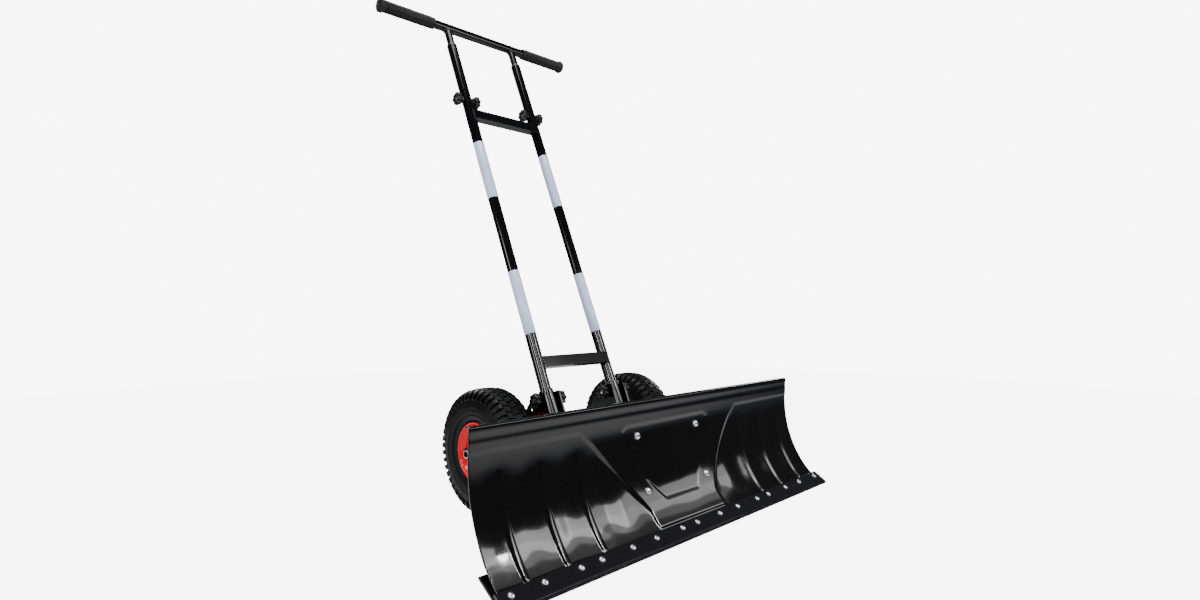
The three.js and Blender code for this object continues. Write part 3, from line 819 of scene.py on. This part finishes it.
def bracket_bolts():
    """Four button-headed bolts through blade and bracket, with washers, nuts and bolt ends."""
    for level, z in (("lower", 79 * MM), ("upper", 177 * MM)):
        for side, sign in SIDES:
            bm = bmesh.new()
            front = on_blade(sign * 91 * MM, z, BOLT_SEAT[level])
            dome_head(bm, front, 7.2 * MM, 4.6 * MM)
            back = on_blade(sign * 91 * MM, z, -7.2 * MM) @ Matrix.Rotation(math.pi, 4, "X")
            washer(bm, back, 3, 9, 1.5, 24)
            hexagon(bm, shifted(back, 1.5), 13 * MM, 6.5 * MM)
            threaded_end(bm, shifted(back, 8), 4 * MM, 5 * MM)
            outward(bm)
            name = f"bracket_bolt_{level}_{side}"
            piece(f"{name}_set", bm, "blade", ZINC, (name,))


def weld(bm, place, radius, thickness):
    """A rippled fillet round a tube's end, on local Z."""
    count, tube = 40, 6
    rings = []
    for i in range(count):
        a = i * TURN / count
        size = thickness * (1 + 0.14 * math.sin(i * 2.4))
        ring = []
        for j in range(tube):
            b = j * TURN / tube
            reach = radius + size * 0.7 * math.cos(b)
            local = Vector((reach * math.cos(a), reach * math.sin(a), size * 0.7 * math.sin(b)))
            ring.append(bm.verts.new(place @ local))
        rings.append(ring)
    made = []
    for i in range(count):
        a, b = rings[i], rings[(i + 1) % count]
        for j in range(tube):
            k = (j + 1) % tube
            made.append(bm.faces.new((a[j], a[k], b[k], b[j])))
    bmesh.ops.recalc_face_normals(bm, faces=made)
    return bm


def straight_weld(bm, a, b, thickness, count):
    """A rippled fillet along a line from a to b."""
    a, b = Vector(a), Vector(b)
    place = axis_frame(a, b - a)
    length = (b - a).length
    profile = [(0.0, 0.0)]
    for i in range(count + 1):
        profile.append((thickness * (0.8 + 0.16 * math.sin(i * 2.2)), i / count * length))
    profile.append((0.0, length))
    return lathe(profile, 8, place, bm)


def blade_back():
    """The backing bar and bracket, with the welds that hold the bracket together."""
    refined("backing_bar", "blade", POWDER, 0.5 * MM, 25)
    refined("blade_bracket", "blade", POWDER, 0.7 * MM, 25)
    refined("swing_plate", "blade", POWDER, 0.5 * MM, 25)
    bm = bmesh.new()
    rear, front = AXLE_Y - 262 * MM, AXLE_Y - 284 * MM
    for sign in (-1, 1):
        x = sign * 99.5 * MM
        for z in (109 * MM, 159 * MM):
            straight_weld(bm, (x, rear, z), (x, front, z), 2 * MM, 12)
    for z in (108.5 * MM, 159.5 * MM):
        ring = axis_frame((0, KING.y, z), (0, 0, 1))
        weld(bm, ring, 19.5 * MM, 2 * MM)
    piece("bracket_welds", bm, "blade", WELD)


blade_sheet()
cutting_edges()
edge_bolts()
bracket_bolts()
blade_back()


# ---- Wheels ----------------------------------------------------------------------------------
WHEEL_FACES = (("outer", 1), ("inner", -1))


def wheel_place(sign):
    return Matrix.Translation((sign * WHEEL_X, AXLE.y, AXLE.z))


def wheel_frame(sign, facing=1):
    """Local Z along the axle, pointing out of the wheel's outer or inner side."""
    return axis_frame((sign * WHEEL_X, AXLE.y, AXLE.z), (sign * facing, 0, 0))


BEAD_DEPTH = 16  # how far the beads reach in from the sidewall, in millimetres


def carcass_profile():
    """The tyre's outside below its tread blocks, and its beads, as (radius, half width)."""
    r, w = TYRE_RADIUS / MM, TYRE_HALF / MM
    crown = r - 3.6
    outside = [(crown, 0), (crown - 0.5, 12), (crown - 4.2, 25), (crown - 11, 32.5)]
    outside += [(r - 24, w - 2.4), (r - 33, w - 0.6), (r - 37, w - 0.2), (r - 38, w - 0.9)]
    outside += [(r - 48, w - 1.4), (r - 57, w - 4)]
    rim = RIM_RADIUS / MM
    return outside, [(rim + 3.4, w - 6), (rim + 0.8, w - 9.5), (rim + 0.5, w - BEAD_DEPTH)]


def smooth_profile(points, steps=3):
    """A Catmull-Rom line through the points."""
    out = []
    padded = [points[0], *points, points[-1]]
    for p0, p1, p2, p3 in zip(padded, padded[1:], padded[2:], padded[3:]):
        for i in range(steps):
            t = i / steps
            parts = []
            for a, b, c, d in zip(p0, p1, p2, p3):
                parts.append(0.5 * (2 * b + (c - a) * t + (2 * a - 5 * b + 4 * c - d) * t * t
                                    + (3 * b - a - 3 * c + d) * t**3))
            out.append(tuple(parts))
    out.append(points[-1])
    return out


def tread_block(low, high, inner, half_angle, skew):
    """A block over the crown from x = low to high, its top at the tyre's radius."""
    bm = bmesh.new()
    corners = []
    for x, shift in ((low, -skew), (high, skew)):
        for side in (-1, 1):
            for radius, ease in ((inner, 1.0), (TYRE_RADIUS, 0.93)):
                crown = radius - (abs(x) / (TYRE_HALF * 0.9)) ** 2.6 * 6.5 * MM
                a = side * half_angle * ease + shift
                corners.append(bm.verts.new((x, crown * math.sin(a), crown * math.cos(a))))
    order = ((0, 1, 3, 2), (4, 6, 7, 5), (0, 4, 5, 1), (2, 3, 7, 6), (1, 5, 7, 3), (0, 2, 6, 4))
    for face in order:
        bm.faces.new([corners[i] for i in face])
    outward(bm)
    return bm


def shoulder_block(side, half_angle):
    """A block that wraps from the shoulder down onto the sidewall."""
    w = TYRE_HALF / MM
    r = TYRE_RADIUS / MM
    top = [(r - 1.6, w - 15), (r - 4.6, w - 8.5), (r - 12, w - 2.8), (r - 19.5, w - 0.6)]
    base = [(r - 9.0, w - 16), (r - 12, w - 11), (r - 18, w - 6), (r - 24, w - 3.4)]
    bm = bmesh.new()
    loops = []
    for line, ease in ((base, 1.0), (top, 0.92)):
        for edge in (-1, 1):
            loop = []
            for i, (radius, x) in enumerate(line):
                a = edge * half_angle * ease * (1 - 0.08 * i)
                at = Vector((side * x, radius * math.sin(a), radius * math.cos(a))) * MM
                loop.append(bm.verts.new(at))
            loops.append(loop)
    base_a, base_b, top_a, top_b = loops
    for i in range(3):
        bm.faces.new((top_a[i], top_a[i + 1], top_b[i + 1], top_b[i]))
        bm.faces.new((base_a[i], base_b[i], base_b[i + 1], base_a[i + 1]))
        bm.faces.new((base_a[i], base_a[i + 1], top_a[i + 1], top_a[i]))
        bm.faces.new((base_b[i], top_b[i], top_b[i + 1], base_b[i + 1]))
    for i in (0, 3):
        bm.faces.new((base_a[i], top_a[i], top_b[i], base_b[i]))
    outward(bm)
    return bm


def sidewall_fin(side):
    """One of the fine radial fins that run round the sidewall."""
    bm = bmesh.new()
    inner, outer = 83 * MM, 89 * MM
    x, rise, half = TYRE_HALF - 1.1 * MM, 0.75 * MM, 0.55 * MM
    low = [(side * x, -half * 1.5, inner), (side * x, half * 1.5, inner)]
    low += [(side * x, half * 1.5, outer), (side * x, -half * 1.5, outer)]
    bottom = [bm.verts.new(p) for p in low]
    top = []
    for _, y, z in low:
        ease = 0.8 * MM if z == inner else -0.8 * MM
        top.append(bm.verts.new((side * (x + rise), y * 0.5, z + ease)))
    bm.faces.new(top)
    bm.faces.new(bottom)
    for i in range(4):
        j = (i + 1) % 4
        bm.faces.new((bottom[i], bottom[j], top[j], top[i]))
    outward(bm)
    return bm


def tread():
    """All tread blocks and sidewall fins round one wheel at the origin."""
    blocks = 48
    pitch = TURN / blocks
    base = TYRE_RADIUS - 8 * MM
    whole = bmesh.new()
    rows = [
        (tread_block(-8.5 * MM, 8.5 * MM, base, pitch * 0.43, pitch * 0.14), blocks, 0.0),
        (tread_block(10.5 * MM, 22.5 * MM, base, pitch * 0.42, -pitch * 0.12), blocks, pitch / 2),
        (tread_block(-22.5 * MM, -10.5 * MM, base, pitch * 0.42, -pitch * 0.12), blocks, pitch / 2),
        (shoulder_block(1, pitch * 0.32), blocks, 0.1 * pitch),
        (shoulder_block(-1, pitch * 0.32), blocks, -0.1 * pitch),
        (sidewall_fin(1), 2 * blocks, 0.0),
        (sidewall_fin(-1), 2 * blocks, 0.0),
    ]
    for bm, count, phase in rows:
        join(whole, ROUND.make("row", master_piece(bm, 20), TYRE, Count=count, Phase=phase))
    return whole


def tyre(side, sign, blocks):
    """The carcass with its sidewall rings, and the tread blocks round it."""
    outside, beads = carcass_profile()
    half = [*smooth_profile(outside, 3), *beads]
    mirrored = [(radius, -along) for radius, along in reversed(half)]
    whole = mm(mirrored[:-1] + half)
    inner_bead = (RIM_RADIUS + 0.5 * MM, -(TYRE_HALF - BEAD_DEPTH * MM))
    bm = lathe([*whole, inner_bead], 96, wheel_frame(sign))
    merged(bm)
    outward(bm)
    for facing in (1, -1):
        for radius, along in ((74, 38.0), (94, 37.2)):
            ring = shifted(wheel_frame(sign, facing), along)
            torus(bm, ring, radius * MM, 0.9 * MM, 96, 6)
    join(bm, blocks.copy(), wheel_place(sign))
    piece(f"treaded_tyre_{side}", bm, f"wheel_{side}", TYRE, (f"tyre_{side}",), 30)


def rim(side, sign):
    """Two pressed dishes with rolled flanges, bolted together round the hub."""
    w = TYRE_HALF / MM
    edge = RIM_RADIUS / MM
    dish = [(17.8, 0.4), (46.6, 0.4), (46.8, w - 17), (edge - 4, w - 11.5), (edge - 0.4, w - 9)]
    dish += [(edge - 0.2, w - 5.5), (edge - 1.4, w - 4.2), (edge - 4.4, w - 5.0)]
    dish += [(edge - 6.2, w - 8.5), (44.6, w - 15), (42.6, 14), (38.5, 8.4), (31, 6.8)]
    dish += [(25.5, 8.8), (21.2, 12), (20.6, 30), (20.2, 34), (17.8, 34), (17.8, 0.4)]
    for place_name, facing in WHEEL_FACES:
        bm = lathe(mm(rounded(dish, 2.6)), 72, wheel_frame(sign, facing))
        merged(bm)
        outward(bm)
        name = f"rim_{place_name}_{side}"
        piece(f"{name}_pressed", bm, f"wheel_{side}", RED_ENAMEL, (name,), 50)


def rim_bolts(side, sign):
    """Four bolts through both dishes, and the valve stem with its cap."""
    whole = bmesh.new()
    for _, facing in WHEEL_FACES:
        master = bmesh.new()
        turn = Matrix.Rotation(facing * math.pi / 2, 4, "Y")
        head = Matrix.Translation((facing * 7.2 * MM, 0, 34.5 * MM)) @ turn
        washer(master, head, 0, 6, 1.1, 16)
        hexagon(master, shifted(head, 1.1), 9 * MM, 4 * MM)
        if facing < 0:
            threaded_end(master, shifted(head, 5.1), 3 * MM, 3.5 * MM)
        outward(master)
        join(whole, ROUND.make("row", master_piece(master), ZINC, Count=4, Phase=math.pi / 4))
    whole.transform(wheel_place(sign))
    piece(f"rim_bolts_{side}", whole, f"wheel_{side}", ZINC)
    stem = [(0, 0), (3.6, 0), (3.6, 8), (2.9, 11), (2.9, 19), (3.4, 19.4), (3.4, 27)]
    stem += [(2.4, 28.4), (0, 28.6)]
    lean = Matrix.Rotation(0.18, 4, "X")
    place = wheel_frame(sign) @ Matrix.Translation((0, 40 * MM, 8 * MM)) @ lean
    bm = lathe(mm(rounded(stem, 0.6, 2)), 20, place)
    piece(f"valve_stem_{side}", bm, f"wheel_{side}", PLASTIC)


def hub_parts(side, sign):
    """Shielded bearings, and the axle's washers, nuts and threaded ends."""
    race = [(8.3, 0), (17.4, 0), (17.4, 10.6), (17.0, 11), (15.2, 11), (14.9, 10.4)]
    race += [(10.9, 10.4), (10.6, 11), (8.7, 11), (8.3, 10.6), (8.3, 0)]
    for place_name, facing in WHEEL_FACES:
        bm = lathe(mm(race), 40, shifted(wheel_frame(sign, facing), 23))
        merged(bm)
        outward(bm)
        name = f"bearing_{place_name}_{side}"
        piece(f"{name}_shielded", bm, f"wheel_{side}", BEARING, (name,))
    bm = bmesh.new()
    place = wheel_frame(sign)
    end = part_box("axle")[1].x - WHEEL_X
    washer(bm, shifted(place, 34.2), 8.1, 14.5, 1.2, 32)
    hexagon(bm, shifted(place, 35.6), 22 * MM, 9 * MM)
    nut_end = 44.6
    threaded_end(bm, shifted(place, nut_end), 8 * MM, end - nut_end * MM, 1.5 * MM)
    outward(bm)
    piece(f"axle_nut_{side}_set", bm, "chassis", ZINC, (f"axle_nut_{side}",))


tread_blocks = tread()
for side, sign in SIDES:
    tyre(side, sign, tread_blocks)
    rim(side, sign)
    rim_bolts(side, sign)
    hub_parts(side, sign)
tread_blocks.free()


# ---- Chassis ---------------------------------------------------------------------------------
def chassis():
    for node in ("axle_tube", "front_cross_tube", "yoke_plate_upper", "yoke_plate_lower"):
        refined(node, "chassis", POWDER, 0.7 * MM)
    for side, _ in SIDES:
        for node in (f"axle_spacer_{side}", f"side_arm_{side}", f"tilt_bracket_{side}"):
            refined(node, "chassis", POWDER, 0.7 * MM)
    refined("axle", "chassis", ZINC, 0.5 * MM)
    bm = bmesh.new()
    for _, sign in SIDES:
        for inward in (-1, 1):
            x = sign * POLE_X + inward * 17.5 * MM
            weld(bm, axis_frame((x, AXLE.y, AXLE.z), (1, 0, 0)), 12.8 * MM, 2.4 * MM)
        low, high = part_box(f"side_arm_{'left' if sign < 0 else 'right'}")
        for z in (low.z, high.z):
            straight_weld(bm, (low.x, low.y, z), (high.x, low.y, z), 2.2 * MM, 14)
    piece("chassis_welds", bm, "chassis", WELD)


def king_pin():
    """The pin that the blade swings on, with its head, a washer and a nut."""
    bm = bmesh.new()
    top = KING_PIN_TOP
    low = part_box("king_pin")[0].z
    shaft = axis_frame((KING.x, KING.y, low), (0, 0, 1))
    length = top - 12 * MM - low
    lathe(mm([(0, 0), (9, 0), (10, 1.2)]) + [(10 * MM, length), (0.0, length)], 32, shaft, bm)
    hexagon(bm, axis_frame((KING.x, KING.y, top - 12 * MM), (0, 0, 1)), 29 * MM, 12 * MM)
    lug_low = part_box("yoke_plate_lower")[0].z
    under = axis_frame((KING.x, KING.y, lug_low - 0.2 * MM), (0, 0, -1))
    washer(bm, under, 10.2, 17.5, 2, 32)
    hexagon(bm, shifted(under, 2.1), 27 * MM, 10 * MM, 10.2 * MM)
    outward(bm)
    piece("king_pin_set", bm, "chassis", ZINC, ("king_pin",))


BRACKET_FACE = 22.1 * MM  # from the pole's middle to the outside of a tilt bracket


def pivot_bolts():
    """The bolts that the handle tilts on, with heads outside and lock nuts inside."""
    for side, sign in SIDES:
        bm = bmesh.new()
        outer = (sign * (POLE_X + BRACKET_FACE), PIVOT.y, PIVOT.z)
        inner = (sign * (POLE_X - BRACKET_FACE), PIVOT.y, PIVOT.z)
        head, back = axis_frame(outer, (sign, 0, 0)), axis_frame(inner, (-sign, 0, 0))
        washer(bm, head, 4, 10.5, 1.4)
        hexagon(bm, shifted(head, 1.4), 16 * MM, 5.4 * MM)
        washer(bm, back, 4, 10.5, 1.4)
        hexagon(bm, shifted(back, 1.4), 16 * MM, 7 * MM)
        threaded_end(bm, shifted(back, 8.4), 5 * MM, 3 * MM)
        rod(bm, axis_frame(inner, (sign, 0, 0)), 5 * MM, 2 * BRACKET_FACE)
        outward(bm)
        name = f"tilt_pivot_bolt_{side}"
        piece(f"{name}_set", bm, "chassis", ZINC, (name,))


chassis()
king_pin()
pivot_bolts()


# ---- Knobs -----------------------------------------------------------------------------------
def star_knob(name, place, stud, reach, scale=1.0):
    """A lobed knob on local Z, dished on top, with a metal insert, a neck and its stud."""
    lobes, columns = 7, 84
    rows = [(8.2, 0.0), (8.2, 1.2), (7.4, 5.0), (9.0, 6.0), (13.6, 6.6), (15.2, 8.0), (16.0, 10.5)]
    rows += [(16.0, 15.0), (15.2, 17.4), (13.4, 18.6), (9.0, 18.8), (7.2, 18.2), (6.6, 16.2)]
    rows += [(5.0, 15.8), (0, 15.8)]
    bm = bmesh.new()
    rings = []
    for radius, along in rows:
        depth = 0.115 * max(0.0, min(1.0, (radius - 9.0) / 5.5))
        ring = []
        for i in range(columns if radius else 1):
            a = i * TURN / columns
            notch = (0.5 - 0.5 * math.cos(lobes * a)) ** 1.6
            reach_out = radius * scale * (1 - depth * 2.0 * notch) * MM
            local = Vector((reach_out * math.cos(a), reach_out * math.sin(a), along * scale * MM))
            ring.append(bm.verts.new(place @ local))
        rings.append(ring)
    for lower, upper in zip(rings, rings[1:]):
        for i in range(columns):
            j = (i + 1) % columns
            corners = [lower[i], lower[j], upper[j % len(upper)], upper[i % len(upper)]]
            bm.faces.new(list(dict.fromkeys(corners)))
    bm.faces.new(rings[0])
    outward(bm)
    piece(f"{name}_star", bm, name, PLASTIC, (name,), 50)
    metal = bmesh.new()
    hexagon(metal, shifted(place, 15.9 * scale), 8.0 * scale * MM, 1.6 * MM)
    tip = [(stud, reach - 0.6 * MM), (stud * 0.8, reach), (0.0, reach)]
    lathe([(0.0, 0.0), (stud, 0.0), *tip], 20, place @ Matrix.Rotation(math.pi, 4, "X"), metal)
    outward(metal)
    piece(f"{name}_stud", metal, name, ZINC)


def knobs():
    for side, sign in SIDES:
        for where, out in (("outer", sign), ("inner", -sign)):
            for kind, face, along, reach in (
                ("tilt", BRACKET_FACE, 68 * MM, 5.5 * MM),
                ("height", 13.5 * MM, 824 * MM, 3.5 * MM),
            ):
                place = axis_frame(on_handle(sign * POLE_X + out * face, along), (out, 0, 0))
                star_knob(f"{kind}_knob_{where}_{side}", place, 3.2 * MM, reach)
    clamp = middle("swing_clamp_knob")
    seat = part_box("yoke_plate_upper")[1].z + 0.3 * MM
    place = axis_frame((clamp.x, clamp.y, seat), (0, 0, 1))
    star_knob("swing_clamp_knob", place, 5 * MM, 20 * MM, 1.25)


knobs()


# ---- Handle ----------------------------------------------------------------------------------
# Places along the handle, from the pivot.
SOCKET_END = 86.6 * MM
POLE_START, POLE_END = 9 * MM, 985 * MM
CROSSBARS, CROSSBAR_HALF = (146, 777), 12.5  # in millimetres
HANDLEBAR_ALONG = 1046 * MM


def handle_ring(x, along):
    return axis_frame(on_handle(x, along), UP_POLE)


def tape_bands():
    """Reflective film wrapped round each pole, with an overlap where its ends meet."""
    for side, sign in SIDES:
        for name, start, end in (("lower", 214, 364), ("upper", 551, 701)):
            place = handle_ring(sign * POLE_X, start * MM)
            length = (end - start) * MM
            bm = bmesh.new()
            columns = 48
            rows = [(12.55, 0.0), (12.78, 0.0004), (12.78, length - 0.0004), (12.55, length)]
            rings = []
            for radius, along in rows:
                ring = []
                for i in range(columns):
                    a = i * TURN / columns
                    overlap = 0.16 if i < 4 and radius > 12.6 else 0.0
                    reach = (radius + overlap) * MM
                    local = Vector((reach * math.cos(a), reach * math.sin(a), along))
                    ring.append(bm.verts.new(place @ local))
                rings.append(ring)
            for lower, upper in zip(rings, rings[1:] + rings[:1]):
                for i in range(columns):
                    j = (i + 1) % columns
                    bm.faces.new((lower[i], lower[j], upper[j], upper[i]))
            outward(bm)
            piece(f"reflective_band_{name}_{side}", bm, "handle", TAPE)


def pole(side, sign):
    """A straight tube with eased ends, in short lengths so that its shading stays true."""
    node = f"pole_{side}"
    low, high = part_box(node)
    outer, wall, ease = (high.x - low.x) / 2, 2 * MM, 0.5 * MM
    profile = [(outer - wall, POLE_START), (outer - ease, POLE_START)]
    lengths, straight = 40, POLE_END - POLE_START - 2 * ease
    for i in range(lengths + 1):
        profile.append((outer, POLE_START + ease + straight * i / lengths))
    profile += [(outer - ease, POLE_END), (outer - wall, POLE_END), (outer - wall, POLE_START)]
    bm = lathe(profile, 64, handle_ring(sign * POLE_X, 0))
    merged(bm)
    outward(bm)
    piece(f"{node}_finished", bm, "handle", POWDER, (node,))


def handle_tubes():
    for node in ("crossbar_lower", "crossbar_upper"):
        refined(node, "handle", POWDER, 1.2 * MM)
    for side, sign in SIDES:
        pole(side, sign)
        refined(f"socket_{side}", "handle", POWDER, 0.5 * MM)
        refined(f"pole_collar_{side}", "handle", PLASTIC, 0.3 * MM)
        refined(f"inner_tube_{side}", "handle_top", POWDER, 0.0)
    refined("handlebar", "handle_top", POWDER, 0.4 * MM)


def handle_welds():
    """Fillets where the poles enter their sockets, the crossbars meet the poles, and the
    inner tubes meet the handlebar."""
    bm = bmesh.new()
    for _, sign in SIDES:
        x = sign * POLE_X
        weld(bm, handle_ring(x, SOCKET_END), 13.6 * MM, 2.4 * MM)
        inner = sign * (POLE_X - 12.5 * MM)
        for along in CROSSBARS:
            ends = (along - CROSSBAR_HALF) * MM, (along + CROSSBAR_HALF) * MM
            for end in ends:
                seam = on_handle(inner, end, 1 * MM), on_handle(x, end, 14 * MM)
                straight_weld(bm, *seam, 1.6 * MM, 10)
            straight_weld(bm, *(on_handle(x, end, 13.6 * MM) for end in ends), 1.8 * MM, 12)
    piece("handle_welds", bm, "handle", WELD)
    top = bmesh.new()
    for _, sign in SIDES:
        weld(top, handle_ring(sign * POLE_X, 1035.5 * MM), 9.6 * MM, 2.6 * MM)
    piece("handlebar_welds", top, "handle_top", WELD)


def grip(side, sign):
    """A ribbed sleeve with a rounded flange at its outer end."""
    place = axis_frame(on_handle(0, HANDLEBAR_ALONG), (sign, 0, 0))
    profile = [(11.3, 139.4), (13.0, 139), (14.0, 140.2), (14.1, 146), (13.5, 147), (13.5, 270.5)]
    profile += [(14.1, 271.5), (14.3, 274), (16.4, 275.6), (17.0, 277.4), (17.0, 282)]
    profile += [(16.2, 283.8), (14.4, 284.4), (0, 284.5)]
    bm = lathe(mm(profile), 48, place)
    count, first_rib, last_rib, half = 46, 149, 269.5, 0.95
    ring = [(13.2, -half), (14.15, -half * 0.55), (14.45, 0.0), (14.15, half * 0.55), (13.2, half)]
    ridge = lathe(mm(ring), 36, place.to_3x3().to_4x4())
    first = shifted(place, first_rib)
    pitch = (last_rib - first_rib) / (count - 1) * MM
    ribs = ROW.make("ribs", master_piece(ridge), GRIP, Count=count, Start=first.translation,
                    Step=Vector((sign * pitch, 0, 0)))
    join(bm, ribs)
    piece(f"grip_{side}_ribbed", bm, "handle_top", GRIP, (f"grip_{side}",), 40)


tape_bands()
handle_tubes()
handle_welds()
for side, sign in SIDES:
    grip(side, sign)


# ---- Floor, camera and light -----------------------------------------------------------------
FLOOR_PALENESS = 0.88  # how much of the white behind shows through the floor


def floor():
    bm = bmesh.new()
    bmesh.ops.create_circle(bm, cap_ends=True, segments=96, radius=6.0)
    mesh = bpy.data.meshes.new("floor")
    bm.to_mesh(mesh)
    bm.free()
    s = Shader("pale_floor", Roughness=0.9)
    distance = s.node("ShaderNodeVectorMath", {0: s.place}, output="Value", operation="LENGTH")
    # Painted light: the floor's colour is a pale pool near the object that darkens to grey further
    # out, so the blade mirrors a painted light-to-dark gradient of it.
    painted_light_falloff = s.ramp(distance / 6.0, (0.1, 0.0), (0.28, 1.0))
    s.set("Base Color", s.mix(painted_light_falloff + s.noise(0.8) * 0.05, (0.8, 0.8, 0.8), (0.105, 0.11, 0.125)))
    seen = s.node("ShaderNodeLightPath")
    fade = s.ramp(distance / 6.0, (0.3, 0.0), (0.55, 1.0))
    paleness = s.node("ShaderNodeMath", {0: fade, 1: seen * FLOOR_PALENESS}, operation="MAXIMUM")
    clear = s.node("ShaderNodeBsdfTransparent")
    covered = {0: paleness, 1: Value(s, s.principled.outputs[0]), 2: clear}
    surface = s.node("ShaderNodeMixShader", covered)
    output = next(n for n in s.nodes if n.type == "OUTPUT_MATERIAL")
    s.feed(output.inputs["Surface"], surface)
    mesh.materials.append(s.material)
    made = bpy.data.objects.new("floor", mesh)
    bpy.context.scene.collection.objects.link(made)


def camera():
    data = bpy.data.cameras.new("camera")
    data.lens = 19.76
    data.sensor_width = 36
    data.clip_start = 0.05
    made = bpy.data.objects.new("camera", data)
    made.location = (-1.0169, AXLE_Y - 1.1049, 0.4136)
    yaw, pitch, roll = (math.radians(angle) for angle in (45.686, 0.779, 0.283))
    made.rotation_euler = (math.pi / 2 + pitch, roll, -yaw)
    bpy.context.scene.collection.objects.link(made)
    bpy.context.scene.camera = made


def softbox(name, place, target, width, height, power, along=(0, 0, 1)):
    """A soft light whose height runs as nearly as it can along a direction."""
    data = bpy.data.lights.new(name, "AREA")
    data.shape = "RECTANGLE"
    data.size, data.size_y = width, height
    data.energy = power
    made = bpy.data.objects.new(name, data)
    back = (Vector(place) - Vector(target)).normalized()
    across = Vector(along).cross(back).normalized()
    made.matrix_world = frame_of(Vector(place), across, back.cross(across), back)
    made.visible_camera = False
    bpy.context.scene.collection.objects.link(made)


BLADE_FOOT = (0.0, -0.35, 0.05)


def blade_lights():
    """Overlapping panels over the blade's hollow, brightest in front and to the left, so that
    what the blade mirrors of them fades towards its foot and to the right."""
    high, low = Vector((1.095, -0.89, 1.425)), Vector((1.095, -1.60, 0.845))
    along = Vector((0.95, 0.27, -0.31)).normalized()
    for row, (start, end, strength) in enumerate(((0.55, 1.0, 19), (0.36, 0.78, 6), (0.0, 0.5, 2))):
        width = (low - high).length * (end - start)
        for side, shift, length, share in (("left", -0.245, 0.68, 1.0), ("right", 0.35, 0.56, 0.5)):
            place = high.lerp(low, (start + end) / 2) + along * shift
            power = strength * share * width * length
            name = f"blade_light_{side}_{row + 1}"
            softbox(name, place, BLADE_FOOT, width, length, power, along)


def surroundings():
    """White behind the object, and a darker room in its reflections."""
    world = bpy.data.worlds.new("studio")
    bpy.context.scene.world = world
    world.use_nodes = True
    tree = world.node_tree
    tree.nodes.clear()
    ray = tree.nodes.new("ShaderNodeLightPath")
    seen = tree.nodes.new("ShaderNodeBackground")
    seen.inputs["Color"].default_value = (1, 1, 1, 1)
    seen.inputs["Strength"].default_value = 8.0
    room = tree.nodes.new("ShaderNodeBackground")
    room.inputs["Color"].default_value = (0.9, 0.94, 1, 1)
    room.inputs["Strength"].default_value = 0.06
    mix = tree.nodes.new("ShaderNodeMixShader")
    out = tree.nodes.new("ShaderNodeOutputWorld")
    tree.links.new(ray.outputs["Is Camera Ray"], mix.inputs[0])
    tree.links.new(room.outputs[0], mix.inputs[1])
    tree.links.new(seen.outputs[0], mix.inputs[2])
    tree.links.new(mix.outputs[0], out.inputs[0])


floor()
camera()
surroundings()
blade_lights()
softbox("left_line", (-1.64, -0.86, 1.2), (-0.1, 0.0, 0.3), 0.06, 0.65, 14, (0.07, 0.3, 0.52))
softbox("front_line", (0.52, -1.5, 1.45), (-0.1, 0.0, 0.3), 0.06, 0.6, 14, (-0.02, 0.3, 0.5))
softbox("left_strip", (-2.2, 0.3, 0.9), (0.0, 0.0, 0.3), 0.3, 1.2, 16)
softbox("right_strip", (2.4, 0.6, 0.9), (0.0, 0.0, 0.3), 0.3, 1.2, 14)
softbox("overhead", (-0.3, 0.2, 3.0), (0.0, 0.0, 0.3), 1.8, 1.8, 60, (0, 1, 0))
softbox("front_fill", (-1.6, -3.0, 2.2), (0.0, 0.0, 0.4), 1.6, 1.2, 25)
softbox("back_fill", (0.4, 3.0, 2.2), (0.0, 0.0, 0.5), 2.0, 1.4, 50)
